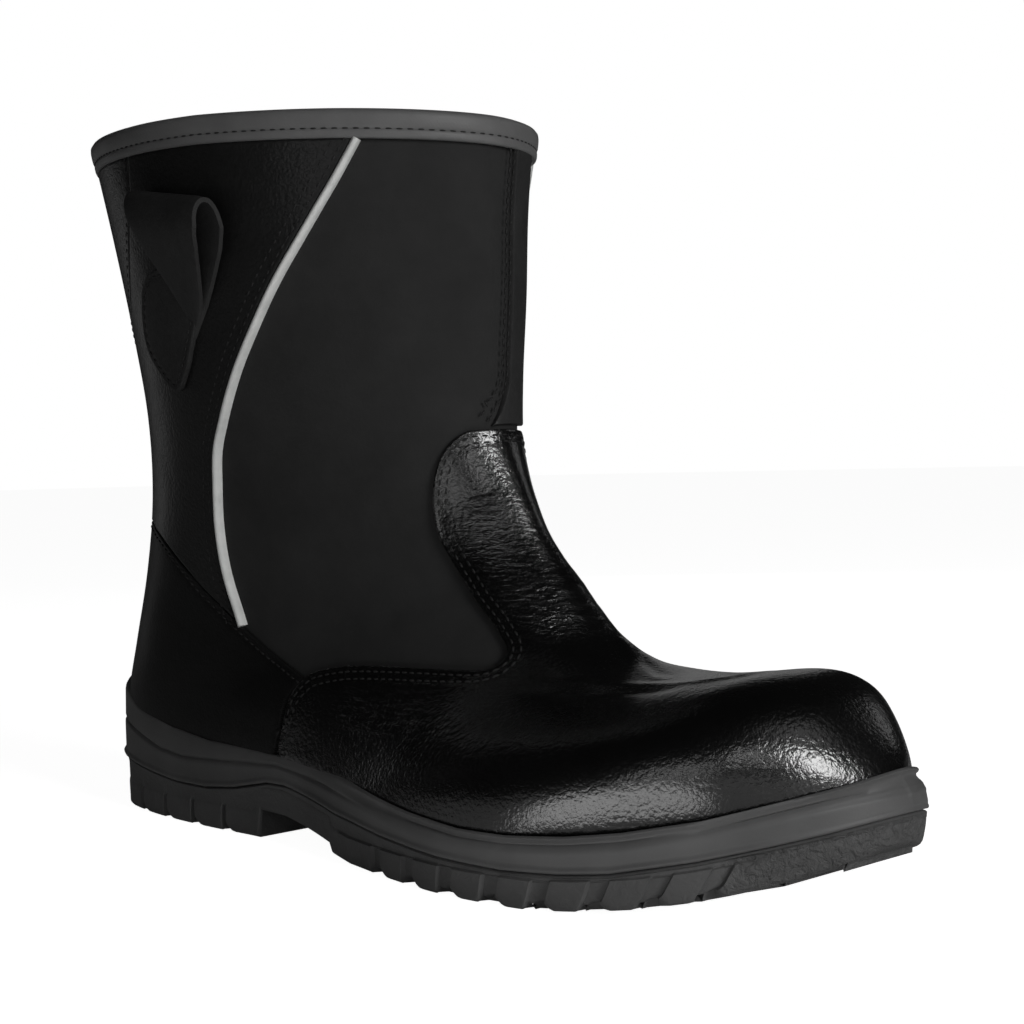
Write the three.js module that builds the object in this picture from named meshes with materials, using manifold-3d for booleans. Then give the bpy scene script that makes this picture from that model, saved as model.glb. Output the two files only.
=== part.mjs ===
// Pull-on safety boot, right foot. Sizes in mm. +X toe, +Y inner side of the foot, +Z up.
import * as THREE from 'three';
import { mergeVertices } from 'three/addons/utils/BufferGeometryUtils.js';
import Module from 'manifold-3d';

const wasm = await Module();
wasm.setup();

// Main sizes
const wall = 2;
const gap = 0.3;
const panelThick = 1.5;
const panelFace = gap + panelThick;
const pipingStand = 2.8;
const pipingHalf = 1.3;
const insoleThick = 2.9;
const roundSteps = 24;
// Where the cutters end, well clear of the boot.
const cut = { behind: -60, ahead: 340, below: -60, over: 300, side: 120 };

// The last: each row is one section, from its back or bottom point to its front or top point.
// lat and med are half widths, ridge the side shift of the middle line, belly the height share of
// the widest place, low and high the roundness below and above it.
const lastRows = [
  // name        backX backZ frontX frontZ lat   med   ridge belly low  high
  ['above',       8.5, 240.0, 178.0, 240.0, 67.0, 67.0, 0.0, 0.47, 2.0, 1.80],
  ['collar',     14.5, 215.0, 174.8, 215.0, 62.0, 62.0, 0.0, 0.47, 2.0, 1.80],
  ['calf',       21.0, 185.0, 173.0, 188.0, 57.0, 57.0, 0.0, 0.47, 2.0, 1.80],
  ['shin',       25.5, 155.0, 173.5, 162.0, 51.5, 51.5, 0.0, 0.46, 2.0, 1.80],
  ['ankle',      27.0, 128.0, 173.5, 139.0, 46.0, 46.0, 0.0, 0.45, 2.0, 1.80],
  ['throat',     23.5, 102.0, 175.0, 121.0, 41.0, 41.0, 0.5, 0.42, 2.0, 1.80],
  ['heelTop',    16.5,  76.0, 179.0, 109.0, 37.5, 37.0, 1.0, 0.37, 2.0, 1.80],
  ['heelBack',    8.5,  50.0, 183.0, 100.0, 35.5, 35.0, 1.5, 0.33, 2.1, 1.80],
  ['heelCup',     8.0,  30.0, 187.0,  92.0, 35.0, 34.0, 2.0, 0.32, 2.6, 1.80],
  ['heelSeat',   25.0,  20.0, 191.8,  85.0, 35.0, 33.0, 2.5, 0.30, 3.5, 1.85],
  ['seat',       65.0,  19.5, 196.7,  79.0, 36.0, 33.0, 3.0, 0.28, 4.5, 1.90],
  ['arch',      105.0,  19.0, 203.5,  71.0, 37.5, 30.5, 3.5, 0.26, 5.0, 1.95],
  ['waist',     140.0,  16.0, 210.8,  62.5, 42.0, 32.0, 4.0, 0.24, 5.0, 2.00],
  ['instep',    170.0,  13.5, 221.0,  55.5, 48.0, 39.0, 4.5, 0.24, 5.0, 2.10],
  ['ball',      198.0,  12.0, 233.0,  53.0, 51.5, 46.0, 5.0, 0.26, 5.0, 2.20],
  ['tread',     222.0,  12.0, 247.0,  52.4, 51.5, 50.0, 5.5, 0.28, 5.0, 2.30],
  ['capBack',   244.0,  14.0, 261.0,  53.6, 47.5, 50.5, 6.0, 0.30, 4.5, 2.40],
  ['cap',       263.0,  16.0, 274.0,  55.0, 41.0, 45.0, 6.5, 0.32, 4.0, 2.50],
  ['capFront',  278.0,  17.5, 283.0,  54.2, 34.0, 37.3, 6.5, 0.36, 3.5, 2.40],
  ['toe',       289.0,  19.0, 290.3,  51.0, 25.0, 28.2, 6.5, 0.40, 3.2, 2.30],
  ['toeFront',  296.0,  21.0, 296.2,  45.6, 17.0, 21.6, 6.5, 0.45, 2.8, 2.10],
  ['toeEnd',    300.5,  23.0, 300.7,  39.5,  9.0, 16.2, 6.5, 0.48, 2.3, 2.00],
  ['toeTip',    303.0,  26.0, 303.1,  34.5,  2.5, 11.0, 6.5, 0.50, 2.0, 2.00],
];
const toeRow = 22;

// Plan outline of the sole: distance along, half width on the outer and on the inner side.
const soleRows = [
  // along  lat   med
  [0.3,      8.5,  8.5],
  [3.5,     15.5, 15.5],
  [9,       22.0, 22.0],
  [16,      27.6, 27.6],
  [25,      32.2, 32.0],
  [36,      35.5, 35.0],
  [49,      38.0, 36.9],
  [66,      39.6, 37.4],
  [85,      40.2, 36.5],
  [105,     40.1, 34.5],
  [131,     42.1, 33.8],
  [156,     47.2, 37.5],
  [181,     53.2, 44.0],
  [206,     56.7, 51.0],
  [231,     55.4, 54.6],
  [253,     50.3, 54.2],
  [272,     42.5, 49.0],
  [286,      33.0, 41.0],
  [296.5,   22.8, 31.2],
  [304,      12.6, 22.2],
  [308.5,    3.0, 14.0],
];
const heelBackAt = -1.5;
const toeTipAt = 310;
const toeTipSide = 6.5;
const tuckReach = 26;

// Side view lines of the sole: distance along and height.
const lipLine = [[-10, 45], [0, 43.6], [8, 41.6], [17, 39.4], [25, 37.4], [36, 34.4], [45, 32.2], [57, 29.6],
  [78, 27], [104, 26.6], [131, 25.6], [155, 23.4], [189, 19.5], [211, 17.9], [228, 18], [246, 19.2],
  [261, 21.2], [279, 25], [293.5, 29.4], [304, 32.6], [313, 36], [325, 39]];
const ribLine = [[-10, 17], [20, 16.5], [37, 15], [63, 12.9], [80, 12.8], [95, 14.2], [112, 17.4],
  [122, 17.6], [135, 15.8], [151, 13.4], [176, 11.6], [206, 10], [228, 9.4], [245, 10], [258, 11.2],
  [278, 15.2], [292, 18.8], [301, 21.3], [308, 23.6], [325, 29]];
const grooveLine = [[-10, 31], [20, 28], [37, 25], [52, 22], [66, 20.8], [90, 21.6], [116, 22.8], [140, 20.6],
  [158, 18.6], [189, 15.6], [211, 14.2], [228, 14.4], [246, 15.6], [261, 17.4], [279, 21.2], [293.5, 25.4],
  [304, 28.4], [325, 33]];
const breastAt = 106;
const breastRun = 0.5;
const bottomLine = [[-10, 5], [0, 3.6], [12, 1.6], [22, 0.4], [28, 0], [breastAt, 0],
  [breastAt + breastRun, 8.5],
  [120, 8.2], [130, 6.6], [140, 4.9], [147, 3.7], [148, 1.2], [158, 0], [236, 0], [250, 1.1], [264, 2.8],
  [277, 5.2], [292, 8.8], [300, 11.2], [307, 14.2], [325, 21]];
const seatLine = [[-10, 20], [25, 20], [65, 19.5], [105, 19], [140, 16], [170, 13.5], [198, 12], [222, 12],
  [244, 14], [263, 16], [278, 17.5], [289, 19], [297, 21], [305, 23], [325, 27]];

// Side view lines of the upper: distance along and height.
const collarLine = [[-20, 216.3], [60, 216], [112, 215.2], [150, 213.6], [180, 212.2], [340, 204]];
const bindingHeight = 12;
const bindingThick = 1.2;
const bindingStand = 2;
const edgeDrop = 1.5;
const pipingLine = [[158.5, 208], [151.7, 195], [146, 186], [139.4, 176.5], [130.6, 165], [121.3, 152.7],
  [111.4, 140], [101.8, 126.3], [96, 117], [92.7, 107], [89.8, 95], [89.2, 84], [90.6, 74.5], [94.7, 63],
  [97, 57]];
const counterLine = [[0, 97], [38.8, 95.5], [50, 92.5], [59.2, 88.3], [69.8, 81.3], [78.2, 74.3], [94.7, 63],
  [109, 55.3], [125.2, 49.3]];
const vampRear = [[125.2, 49.3], [121.8, 46.2], [119.5, 42.7], [118, 36.9], [116, 29.3], [112, 10]];
const vampTop = [[125.2, 49.3], [129.2, 51.5], [137.8, 53.4], [149.9, 54.6], [173.5, 55.2], [192, 55.4],
  [197, 56.4], [198.4, 58.6], [197.4, 61], [194.5, 63.6], [189.7, 67.5], [182.9, 72.5], [175, 79.3],
  [169.2, 86.3], [166, 92], [164.8, 99], [165.5, 107.5], [167.1, 113.6], [169.8, 118.6], [172.5, 121.3],
  [200, 124]];
const backSeam = [[79.5, 208], [76, 196], [68, 181], [58.3, 166.5], [47, 155], [38, 143], [33, 128],
  [31, 112], [30, 90]];
const frontStripSides = {
  outerTop: 9, innerTop: 24, outerLow: 0, innerLow: 15, top: 215, low: 112, from: 120,
};

// Pull loop, seen from the front (stand from the shaft and height) and from the side.
const patchThick = 1.4;
const loopProfile = [[1.9, 148], [4.6, 148.6], [8.4, 159], [13, 172], [15.8, 180], [16.2, 185.4], [13.8, 190],
  [9.8, 192], [5.8, 190], [3.2, 185], [2.0, 178], [1.9, 160]];
const loopHole = [[4, 157], [6.4, 160], [11.1, 173], [13.8, 180.6], [14.1, 185], [12.4, 188.2], [9.8, 189.9],
  [7.2, 188.5], [5.2, 184.5], [4, 177.5]];
// The inner loop is pressed flatter and sits further back.
const innerLoop = { flat: 0.75, back: 12 };
const loopSpan = { from: 80, to: 140, more: 10 };
const loopTurn = 0.28;
const shaftRows = { top: 1, low: 5 };
const loopSides = [[104.5, 147], [109.5, 148.5], [118, 166], [127, 182], [128.5, 197], [97, 197], [98.5, 186],
  [101, 172], [104, 160]];
const patchSides = [[73, 165], [69.5, 158], [69.5, 152], [73, 144.6], [83, 136.2], [91, 140.5], [98, 146],
  [109.5, 151], [112, 160], [106, 170], [92, 172], [80, 171]];

// Tread: slits in the sole's edge, the ring groove behind them and the cross grooves.
const slitWide = 2.6;
const slitReach = 15;
const slitHigh = 8;
const heelSlits = [38, 55, 72, 89];
const foreSlits = [
  // along  lean in degrees
  [172,  0],
  [188.5, 2],
  [204.5, 6],
  [220,  12],
  [235,  18],
  [250,  24],
  [264,  30],
  [277,  34],
];
const ringWide = 3;
const treadDeep = 4.5;
const ringBack = 14;
const ringSpans = [
  { from: cut.behind, to: breastAt - 12 },
  { from: 176, to: 282 },
];
const crossGrooves = [
  // along  across
  [30,  42],
  [52,  42],
  [74,  42],
  [192, 60],
  [208, 60],
  [224, 60],
  [240, 60],
  [256, 60],
];

// Steps of the sole's side from the bottom up: inset from the plan outline, line that it follows, lift
// from that line, and further tuck at the heel's back and at the toe's front.
const flat = (z) => [[cut.behind, z], [cut.ahead, z]];
const soleLow = flat(-12);
const soleHigh = flat(80);
const midsoleSteps = [
  // inset line     lift  heel  toe
  [0.3,  soleLow,    0,    0,    0],
  [-0.3, ribLine,    0.8,  0.6,  0.7],
  [0.5,  ribLine,    2.2,  0,    0.3],
  [0.5,  grooveLine, -0.8, 0,    1],
  [1.4,  grooveLine, 0,    0,    1.5],
  [0.7,  grooveLine, 0.9,  0,    1.5],
  [1.5,  lipLine,    -0.6, -0.8, 2.5],
  [2.4,  lipLine,    0.6,  -0.8, 2.5],
  [2.4,  soleHigh,   0,    -0.8, 2.5],
];
const outsoleSteps = [
  // inset line     lift  heel  toe
  [1,    soleLow,    0,    11,   4],
  [1,    bottomLine, 0,    11,   4],
  [0.5,  bottomLine, 2.2,  8.5,  2],
  [0.6,  ribLine,    -2.2, 3.5,  0.6],
  [0.1,  ribLine,    -0.8, 1.2,  0.6],
  [0.1,  soleHigh,   0,    1.2,  0.6],
];

const colors = {
  outsole: 0x3a3b3c, midsole: 0x424345, insole: 0x55534e, upper: 0x232427, vamp: 0x17181a, counter: 0x1a1b1d,
  quarter_lateral: 0x1c1d1f, quarter_medial: 0x1c1d1f, back_strip: 0x1e1f21, front_strip: 0x1a1b1c,
  piping_lateral: 0xc9cbc8, piping_medial: 0xc9cbc8, collar_binding: 0x4a4a4b, pull_loop_lateral: 0x222326,
  pull_loop_medial: 0x222326,
};

// Curve through table values, at a place counted in rows.
function alongRows(values, place) {
  const last = values.length - 1;
  const at = Math.min(Math.max(place, 0), last - 1e-9);
  const row = Math.floor(at);
  const f = at - row;
  const pick = (k) => values[Math.min(Math.max(k, 0), last)];
  const [a, b, c, d] = [pick(row - 1), pick(row), pick(row + 1), pick(row + 2)];
  return b + 0.5 * f * (c - a + f * (2 * a - 5 * b + 4 * c - d + f * (3 * (b - c) + d - a)));
}

const columns = lastRows[0].slice(1).map((_, k) => lastRows.map((row) => row[k + 1]));

// One point of the last. turn runs from 0 at the back over the outer side to 0.5 at the front.
function lastPoint(place, turn) {
  const row = columns.map((values) => alongRows(values, place));
  const [backX, backZ, frontX, frontZ, lat, med, ridge, belly, low, high] = row;
  const c = Math.cos(2 * Math.PI * turn);
  const s = Math.sin(2 * Math.PI * turn);
  const power = 2 / (c >= 0 ? low : high);
  const bow = Math.abs(c) ** power;
  const share = c >= 0 ? belly * (1 - bow) : belly + (1 - belly) * bow;
  const spread = Math.abs(s) ** power;
  const side = s >= 0 ? -(lat + ridge) : med - ridge;
  return new THREE.Vector3(backX + (frontX - backX) * share, ridge + side * spread,
    backZ + (frontZ - backZ) * share);
}

function lastNormal(place, turn) {
  const step = 0.01;
  const top = lastRows.length - 1;
  const up = lastPoint(Math.max(place - step * 10, 0), turn);
  const down = lastPoint(Math.min(place + step * 10, top - 1e-6), turn);
  const before = lastPoint(place, turn - step);
  const after = lastPoint(place, turn + step);
  return after.sub(before).cross(up.sub(down)).normalize();
}

const ringPlaces = [];
for (let place = 0; place < lastRows.length - 1; place += place < toeRow ? 1 : 0.5) ringPlaces.push(place);
ringPlaces.push(lastRows.length - 1);

// Closed solid from rings of points, each end closed by a fan.
function loft(rings) {
  const count = rings[0].length;
  const points = rings.flat();
  const faces = [];
  for (let r = 0; r + 1 < rings.length; r += 1) {
    for (let k = 0; k < count; k += 1) {
      const a = r * count + k;
      const b = r * count + ((k + 1) % count);
      faces.push(a, b, a + count, b, b + count, a + count);
    }
  }
  for (const end of [0, rings.length - 1]) {
    const middle = new THREE.Vector3();
    rings[end].forEach((p) => middle.addScaledVector(p, 1 / count));
    points.push(middle);
    for (let k = 0; k < count; k += 1) {
      const a = end * count + k;
      const b = end * count + ((k + 1) % count);
      if (end === 0) faces.push(points.length - 1, b, a);
      else faces.push(points.length - 1, a, b);
    }
  }
  const geometry = new THREE.BufferGeometry().setFromPoints(points);
  geometry.setIndex(faces);
  return solidOf(geometry);
}

function solidOf(geometry) {
  geometry.deleteAttribute('normal');
  geometry.deleteAttribute('uv');
  const clean = mergeVertices(geometry, 1e-4);
  const vertProperties = new Float32Array(clean.attributes.position.array);
  const triVerts = new Uint32Array(clean.index.array);
  const volume = signedVolume(vertProperties, triVerts);
  if (volume < 0) triVerts.reverse();
  return new wasm.Manifold(new wasm.Mesh({ numProp: 3, vertProperties, triVerts }));
}

function signedVolume(positions, faces) {
  const corner = (k) => new THREE.Vector3().fromArray(positions, faces[k] * 3);
  let sum = 0;
  for (let k = 0; k < faces.length; k += 3) sum += corner(k).dot(corner(k + 1).cross(corner(k + 2))) / 6;
  return sum;
}

// Prisms: an outline in a plane, pushed along the third axis between two values.
const axesOf = {
  xz: [new THREE.Vector3(1, 0, 0), new THREE.Vector3(0, 0, 1), new THREE.Vector3(0, -1, 0)],
  yz: [new THREE.Vector3(0, 1, 0), new THREE.Vector3(0, 0, 1), new THREE.Vector3(1, 0, 0)],
  xy: [new THREE.Vector3(1, 0, 0), new THREE.Vector3(0, 1, 0), new THREE.Vector3(0, 0, 1)],
};

function prism(plane, outline, from, to, hole) {
  const shape = new THREE.Shape(outline.map(([a, b]) => new THREE.Vector2(a, b)));
  if (hole) shape.holes.push(new THREE.Path(hole.map(([a, b]) => new THREE.Vector2(a, b))));
  const geometry = new THREE.ExtrudeGeometry(shape, { depth: to - from, bevelEnabled: false });
  const [u, v, w] = axesOf[plane];
  const start = plane === 'xz' ? -to : from;
  geometry.applyMatrix4(new THREE.Matrix4().makeBasis(u, v, w));
  geometry.translate(...w.clone().multiplyScalar(start).toArray());
  return solidOf(geometry);
}

// Side prism over the outer side (-1), the inner side (1) or both (0).
function sidePrism(outline, side = 0) {
  return prism('xz', outline, side > 0 ? 0 : -cut.side, side < 0 ? 0 : cut.side);
}

const raised = (line, by) => line.map(([x, z]) => [x, z + by]);
const under = (line) => sidePrism([...line, [line.at(-1)[0], cut.below], [line[0][0], cut.below]]);
const above = (line) => sidePrism([...line, [line.at(-1)[0], cut.over], [line[0][0], cut.over]]);
const behind = (line, side) => {
  const [top, bottom] = [line[0][1], line.at(-1)[1]];
  return sidePrism([...line, [cut.behind, bottom], [cut.behind, top]], side);
};

// Line moved sideways in its plane, to its left when walked along.
function shifted(line, by) {
  return line.map(([x, z], k) => {
    const [xa, za] = line[Math.max(k - 1, 0)];
    const [xb, zb] = line[Math.min(k + 1, line.length - 1)];
    const length = Math.hypot(xb - xa, zb - za);
    return [x - ((zb - za) / length) * by, z + ((xb - xa) / length) * by];
  });
}

// Last grown by a distance, kept once made.
const grownForms = new Map();
function form(grow) {
  if (!grownForms.has(grow)) {
    const rings = ringPlaces.map((place) => Array.from({ length: roundSteps }, (_, k) => {
      const turn = k / roundSteps;
      return lastPoint(place, turn).addScaledVector(lastNormal(place, turn), grow);
    }));
    grownForms.set(grow, loft(rings));
  }
  return grownForms.get(grow);
}

const shell = (from, to) => form(to).subtract(form(from));

// Upper and what lies on it
const upperFoot = raised(seatLine, insoleThick + 2 * gap);
const aboveFoot = above(upperFoot);
const belowCollar = under(raised(collarLine, -edgeDrop));
const upper = shell(-wall, 0).intersect(aboveFoot).intersect(belowCollar);

const bindingLow = raised(collarLine, -bindingHeight);
const belowBinding = under(raised(bindingLow, -gap));
const panelLayer = shell(gap, panelFace).intersect(aboveFoot).intersect(belowBinding);

const vampForm = (top, rear) => sidePrism([...top, [cut.ahead, top.at(-1)[1]], [cut.ahead, cut.below],
  [rear.at(-1)[0], cut.below], ...rear.slice(1).reverse()]);
const vamp = panelLayer.intersect(vampForm(vampTop, vampRear));
const vampKeepOut = vampForm(shifted(vampTop, gap), shifted(vampRear, -gap));

const counterTop = [[cut.behind, counterLine[0][1]], ...counterLine, [cut.ahead, counterLine.at(-1)[1]]];
const counter = panelLayer.intersect(under(counterTop)).subtract(vampKeepOut);
const aboveCounter = above(shifted(counterTop, gap));
const aboveCounterLayer = panelLayer.intersect(aboveCounter);

const backStrip = aboveCounterLayer.intersect(behind(backSeam));
const backKeepOut = behind(shifted(backSeam, gap));
const quarterEdge = shifted(pipingLine, -pipingHalf - gap);
const quarterOn = (side) => aboveCounterLayer.intersect(behind(quarterEdge, side)).subtract(backKeepOut);

const pipingOutline = [...shifted(pipingLine, pipingHalf), ...shifted(pipingLine, -pipingHalf).reverse()];
const pipingLayer = shell(gap, pipingStand).intersect(belowBinding).intersect(aboveCounter);
const pipingOn = (side) => pipingLayer.intersect(sidePrism(pipingOutline, side)).subtract(vampKeepOut);

const strip = frontStripSides;
const stripOutline = [[strip.outerTop, strip.top], [strip.innerTop, strip.top], [strip.innerLow, strip.low],
  [strip.outerLow, strip.low]];
const stripPrism = prism('yz', stripOutline, strip.from, cut.ahead);
const frontStrip = panelLayer.intersect(stripPrism).subtract(vampKeepOut);

// Folded binding: an outer leg, an inner leg and the fold over the upper's edge
const belowTop = under(collarLine);
const bindingSlot = shell(-wall - gap, gap).intersect(under(raised(collarLine, gap - edgeDrop)));
const collarBinding = shell(-wall - gap - bindingThick, gap + bindingStand).intersect(above(bindingLow))
  .intersect(belowTop).subtract(bindingSlot);

// Sole body: rings of the plan outline at the side's own steps
const outline = [
  new THREE.Vector3(heelBackAt, 0, 0),
  ...soleRows.map(([x, lat]) => new THREE.Vector3(x, -lat, 0)),
  new THREE.Vector3(toeTipAt, toeTipSide, 0),
  ...soleRows.map(([x, , med]) => new THREE.Vector3(x, med, 0)).reverse(),
];

function heightOn(line, x) {
  const k = Math.max(line.findIndex(([lx]) => lx > x), 1);
  const [[xa, za], [xb, zb]] = [line[k - 1], line[k]];
  return za + ((zb - za) * (x - xa)) / (xb - xa);
}

// Ring of the plan outline moved inwards, a little more at the heel's back and at the toe's front
function soleRing(inset, line, lift, heelTuck = 0, toeTuck = 0) {
  return outline.map((p, k) => {
    const heelShare = Math.max(1 - (p.x - heelBackAt) / tuckReach, 0);
    const toeShare = Math.max(1 - (toeTipAt - p.x) / tuckReach, 0);
    const inwards = inset + heelTuck * heelShare + toeTuck * toeShare;
    const before = outline.at(k - 1);
    const after = outline[(k + 1) % outline.length];
    const along = after.clone().sub(before).normalize();
    const out = new THREE.Vector3(along.y, -along.x, 0);
    return new THREE.Vector3(p.x - out.x * inwards, p.y - out.y * inwards, heightOn(line, p.x) + lift);
  });
}

const midsoleBody = loft(midsoleSteps.map((step) => soleRing(...step)));
const cavity = form(panelFace + gap).intersect(above(seatLine));
const midsole = midsoleBody.intersect(above(raised(ribLine, gap / 2))).intersect(under(lipLine))
  .subtract(cavity);
const outsoleBody = loft(outsoleSteps.map((step) => soleRing(...step)));

const box = (long, across, high) => new THREE.BoxGeometry(long, across, high);

// Cutter through the sole's edge on one side, its length across the outline's own direction
function slit(x, side, lean, high) {
  const row = soleRows.findIndex(([along]) => along > x);
  const [[xa, lata, meda], [xb, latb, medb]] = [soleRows[row - 1], soleRows[row]];
  const f = (x - xa) / (xb - xa);
  const edge = side < 0 ? -(lata + (latb - lata) * f) : meda + (medb - meda) * f;
  const slope = side < 0 ? -(latb - lata) / (xb - xa) : (medb - meda) / (xb - xa);
  const geometry = box(slitWide, 2 * slitReach, 2 * high);
  geometry.rotateY(THREE.MathUtils.degToRad(lean));
  geometry.rotateZ(Math.atan(slope));
  geometry.translate(x, edge, heightOn(bottomLine, x));
  return solidOf(geometry);
}

const planRing = (inset) => soleRing(inset, flat(0), 0).map((p) => [p.x, p.y]);
const ringGroove = prism('xy', planRing(ringBack), cut.below, cut.over, planRing(ringBack + ringWide))
  .intersect(under(raised(bottomLine, treadDeep)));
let outsole = outsoleBody.intersect(under(raised(ribLine, -gap / 2))).intersect(above(bottomLine));
for (const { from, to } of ringSpans) {
  const span = sidePrism([[from, cut.below], [to, cut.below], [to, cut.over], [from, cut.over]]);
  outsole = outsole.subtract(ringGroove.intersect(span));
}
for (const side of [-1, 1]) {
  for (const x of heelSlits) outsole = outsole.subtract(slit(x, side, 0, slitHigh));
  for (const [x, lean] of foreSlits) outsole = outsole.subtract(slit(x, side, lean, slitHigh));
}
for (const [x, across] of crossGrooves) {
  const cross = box(ringWide, across, 2 * treadDeep);
  cross.translate(x, 0, heightOn(bottomLine, x));
  outsole = outsole.subtract(solidOf(cross));
}

const insole = form(panelFace).intersect(above(raised(seatLine, gap)))
  .intersect(under(raised(seatLine, gap + insoleThick)));

// Pull loop: a tapered strap standing off the shaft in a tear shape, with its sewn patch below
function pullLoop(side) {
  const turn = side < 0 ? loopTurn : 1 - loopTurn;
  const shaftAt = (z) => {
    let [low, high] = [shaftRows.top, shaftRows.low];
    for (let k = 0; k < 30; k += 1) {
      const middle = (low + high) / 2;
      if (lastPoint(middle, turn).z > z) low = middle;
      else high = middle;
    }
    return Math.abs(lastPoint(low, turn).y);
  };
  const share = side < 0 ? 1 : innerLoop.flat;
  const back = side < 0 ? 0 : innerLoop.back;
  const placed = (line) => line.map(([x, z]) => [x - back, z]);
  const rest = loopProfile[0][0];
  const standAt = (out, z) => shaftAt(z) + rest + (out - rest) * share;
  const onShaft = (profile) => profile.map(([out, z]) => [side * standAt(out, z), z]);
  const { from, to, more } = loopSpan;
  const ring = prism('yz', onShaft(loopProfile), from, to)
    .subtract(prism('yz', onShaft(loopHole), from - more, to + more));
  const strap = ring.intersect(sidePrism(placed(loopSides))).subtract(form(panelFace + gap));
  const patch = shell(panelFace + gap, panelFace + gap + patchThick)
    .intersect(sidePrism(placed(patchSides), side));
  return strap.add(patch);
}

const pieces = {
  outsole, midsole, insole, upper, vamp, counter,
  quarter_lateral: quarterOn(-1), quarter_medial: quarterOn(1),
  back_strip: backStrip, front_strip: frontStrip,
  piping_lateral: pipingOn(-1), piping_medial: pipingOn(1),
  collar_binding: collarBinding,
  pull_loop_lateral: pullLoop(-1), pull_loop_medial: pullLoop(1),
};

const boot = new THREE.Group();
for (const [name, piece] of Object.entries(pieces)) {
  const mesh = piece.getMesh();
  const geometry = new THREE.BufferGeometry();
  geometry.setAttribute('position', new THREE.BufferAttribute(mesh.vertProperties, 3));
  geometry.setIndex(new THREE.BufferAttribute(mesh.triVerts, 1));
  const material = new THREE.MeshStandardMaterial({ color: colors[name], roughness: 0.6 });
  const node = new THREE.Mesh(geometry, material);
  node.name = name;
  boot.add(node);
}

// The frame: middle of the box seen from above, on the floor
const bounds = new THREE.Box3().setFromObject(boot);
const middle = bounds.getCenter(new THREE.Vector3());
for (const node of boot.children) node.geometry.translate(-middle.x, -middle.y, -bounds.min.z);

export default boot;
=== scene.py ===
"""Looks of the pull-on safety boot: right foot, outer side and toe towards the camera.

Sizes are in mm, in the fit frame (x from the sole's heel back, z from the floor), and turn into metres in
the part's frame when a mesh is made.
"""
import math

import bpy
import numpy as np
from mathutils import Matrix, Vector
from mathutils.geometry import delaunay_2d_cdt
from mathutils.kdtree import KDTree


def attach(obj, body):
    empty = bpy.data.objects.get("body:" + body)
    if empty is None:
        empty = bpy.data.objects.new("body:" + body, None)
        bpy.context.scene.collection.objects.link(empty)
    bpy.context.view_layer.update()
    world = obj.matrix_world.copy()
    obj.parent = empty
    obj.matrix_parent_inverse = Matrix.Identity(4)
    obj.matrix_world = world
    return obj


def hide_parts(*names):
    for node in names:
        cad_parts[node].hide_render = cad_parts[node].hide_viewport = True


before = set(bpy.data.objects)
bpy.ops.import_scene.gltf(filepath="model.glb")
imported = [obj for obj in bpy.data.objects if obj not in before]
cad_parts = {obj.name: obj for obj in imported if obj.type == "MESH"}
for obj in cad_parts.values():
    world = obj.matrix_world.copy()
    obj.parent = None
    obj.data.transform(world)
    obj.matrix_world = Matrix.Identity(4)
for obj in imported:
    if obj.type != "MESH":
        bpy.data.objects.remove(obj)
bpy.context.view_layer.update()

MM = 0.001
SHIFT = np.array([-154.2, 1.83, 0.0])

# Camera

CAMERA_AT = (412.5, -380.4, 110.9)
CAMERA_AZIMUTH = 45.4
CAMERA_ELEVATION = 1.4
CAMERA_ROLL = -1.37
FOCAL_PIXELS = 1882
IMAGE_PIXELS = 1024
SENSOR = 36


def make_camera():
    azimuth = math.radians(CAMERA_AZIMUTH)
    elevation = math.radians(CAMERA_ELEVATION)
    roll = math.radians(CAMERA_ROLL)
    back = Vector((math.sin(azimuth) * math.cos(elevation), -math.cos(azimuth) * math.cos(elevation),
                   math.sin(elevation)))
    level = Vector((math.cos(azimuth), math.sin(azimuth), 0))
    rise = back.cross(level)
    right = level * math.cos(roll) + rise * math.sin(roll)
    up = rise * math.cos(roll) - level * math.sin(roll)
    data = bpy.data.cameras.new("camera")
    data.sensor_width = SENSOR
    data.sensor_fit = "HORIZONTAL"
    data.lens = FOCAL_PIXELS * SENSOR / IMAGE_PIXELS
    data.clip_start = 0.01
    data.clip_end = 50
    camera = bpy.data.objects.new("camera", data)
    matrix = Matrix((right, up, back)).transposed().to_4x4()
    matrix.translation = Vector(CAMERA_AT) * MM
    camera.matrix_world = matrix
    bpy.context.scene.collection.objects.link(camera)
    bpy.context.scene.camera = camera


make_camera()

# The last, as in the part: one row per section, from its back or bottom point to its front or top point

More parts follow.
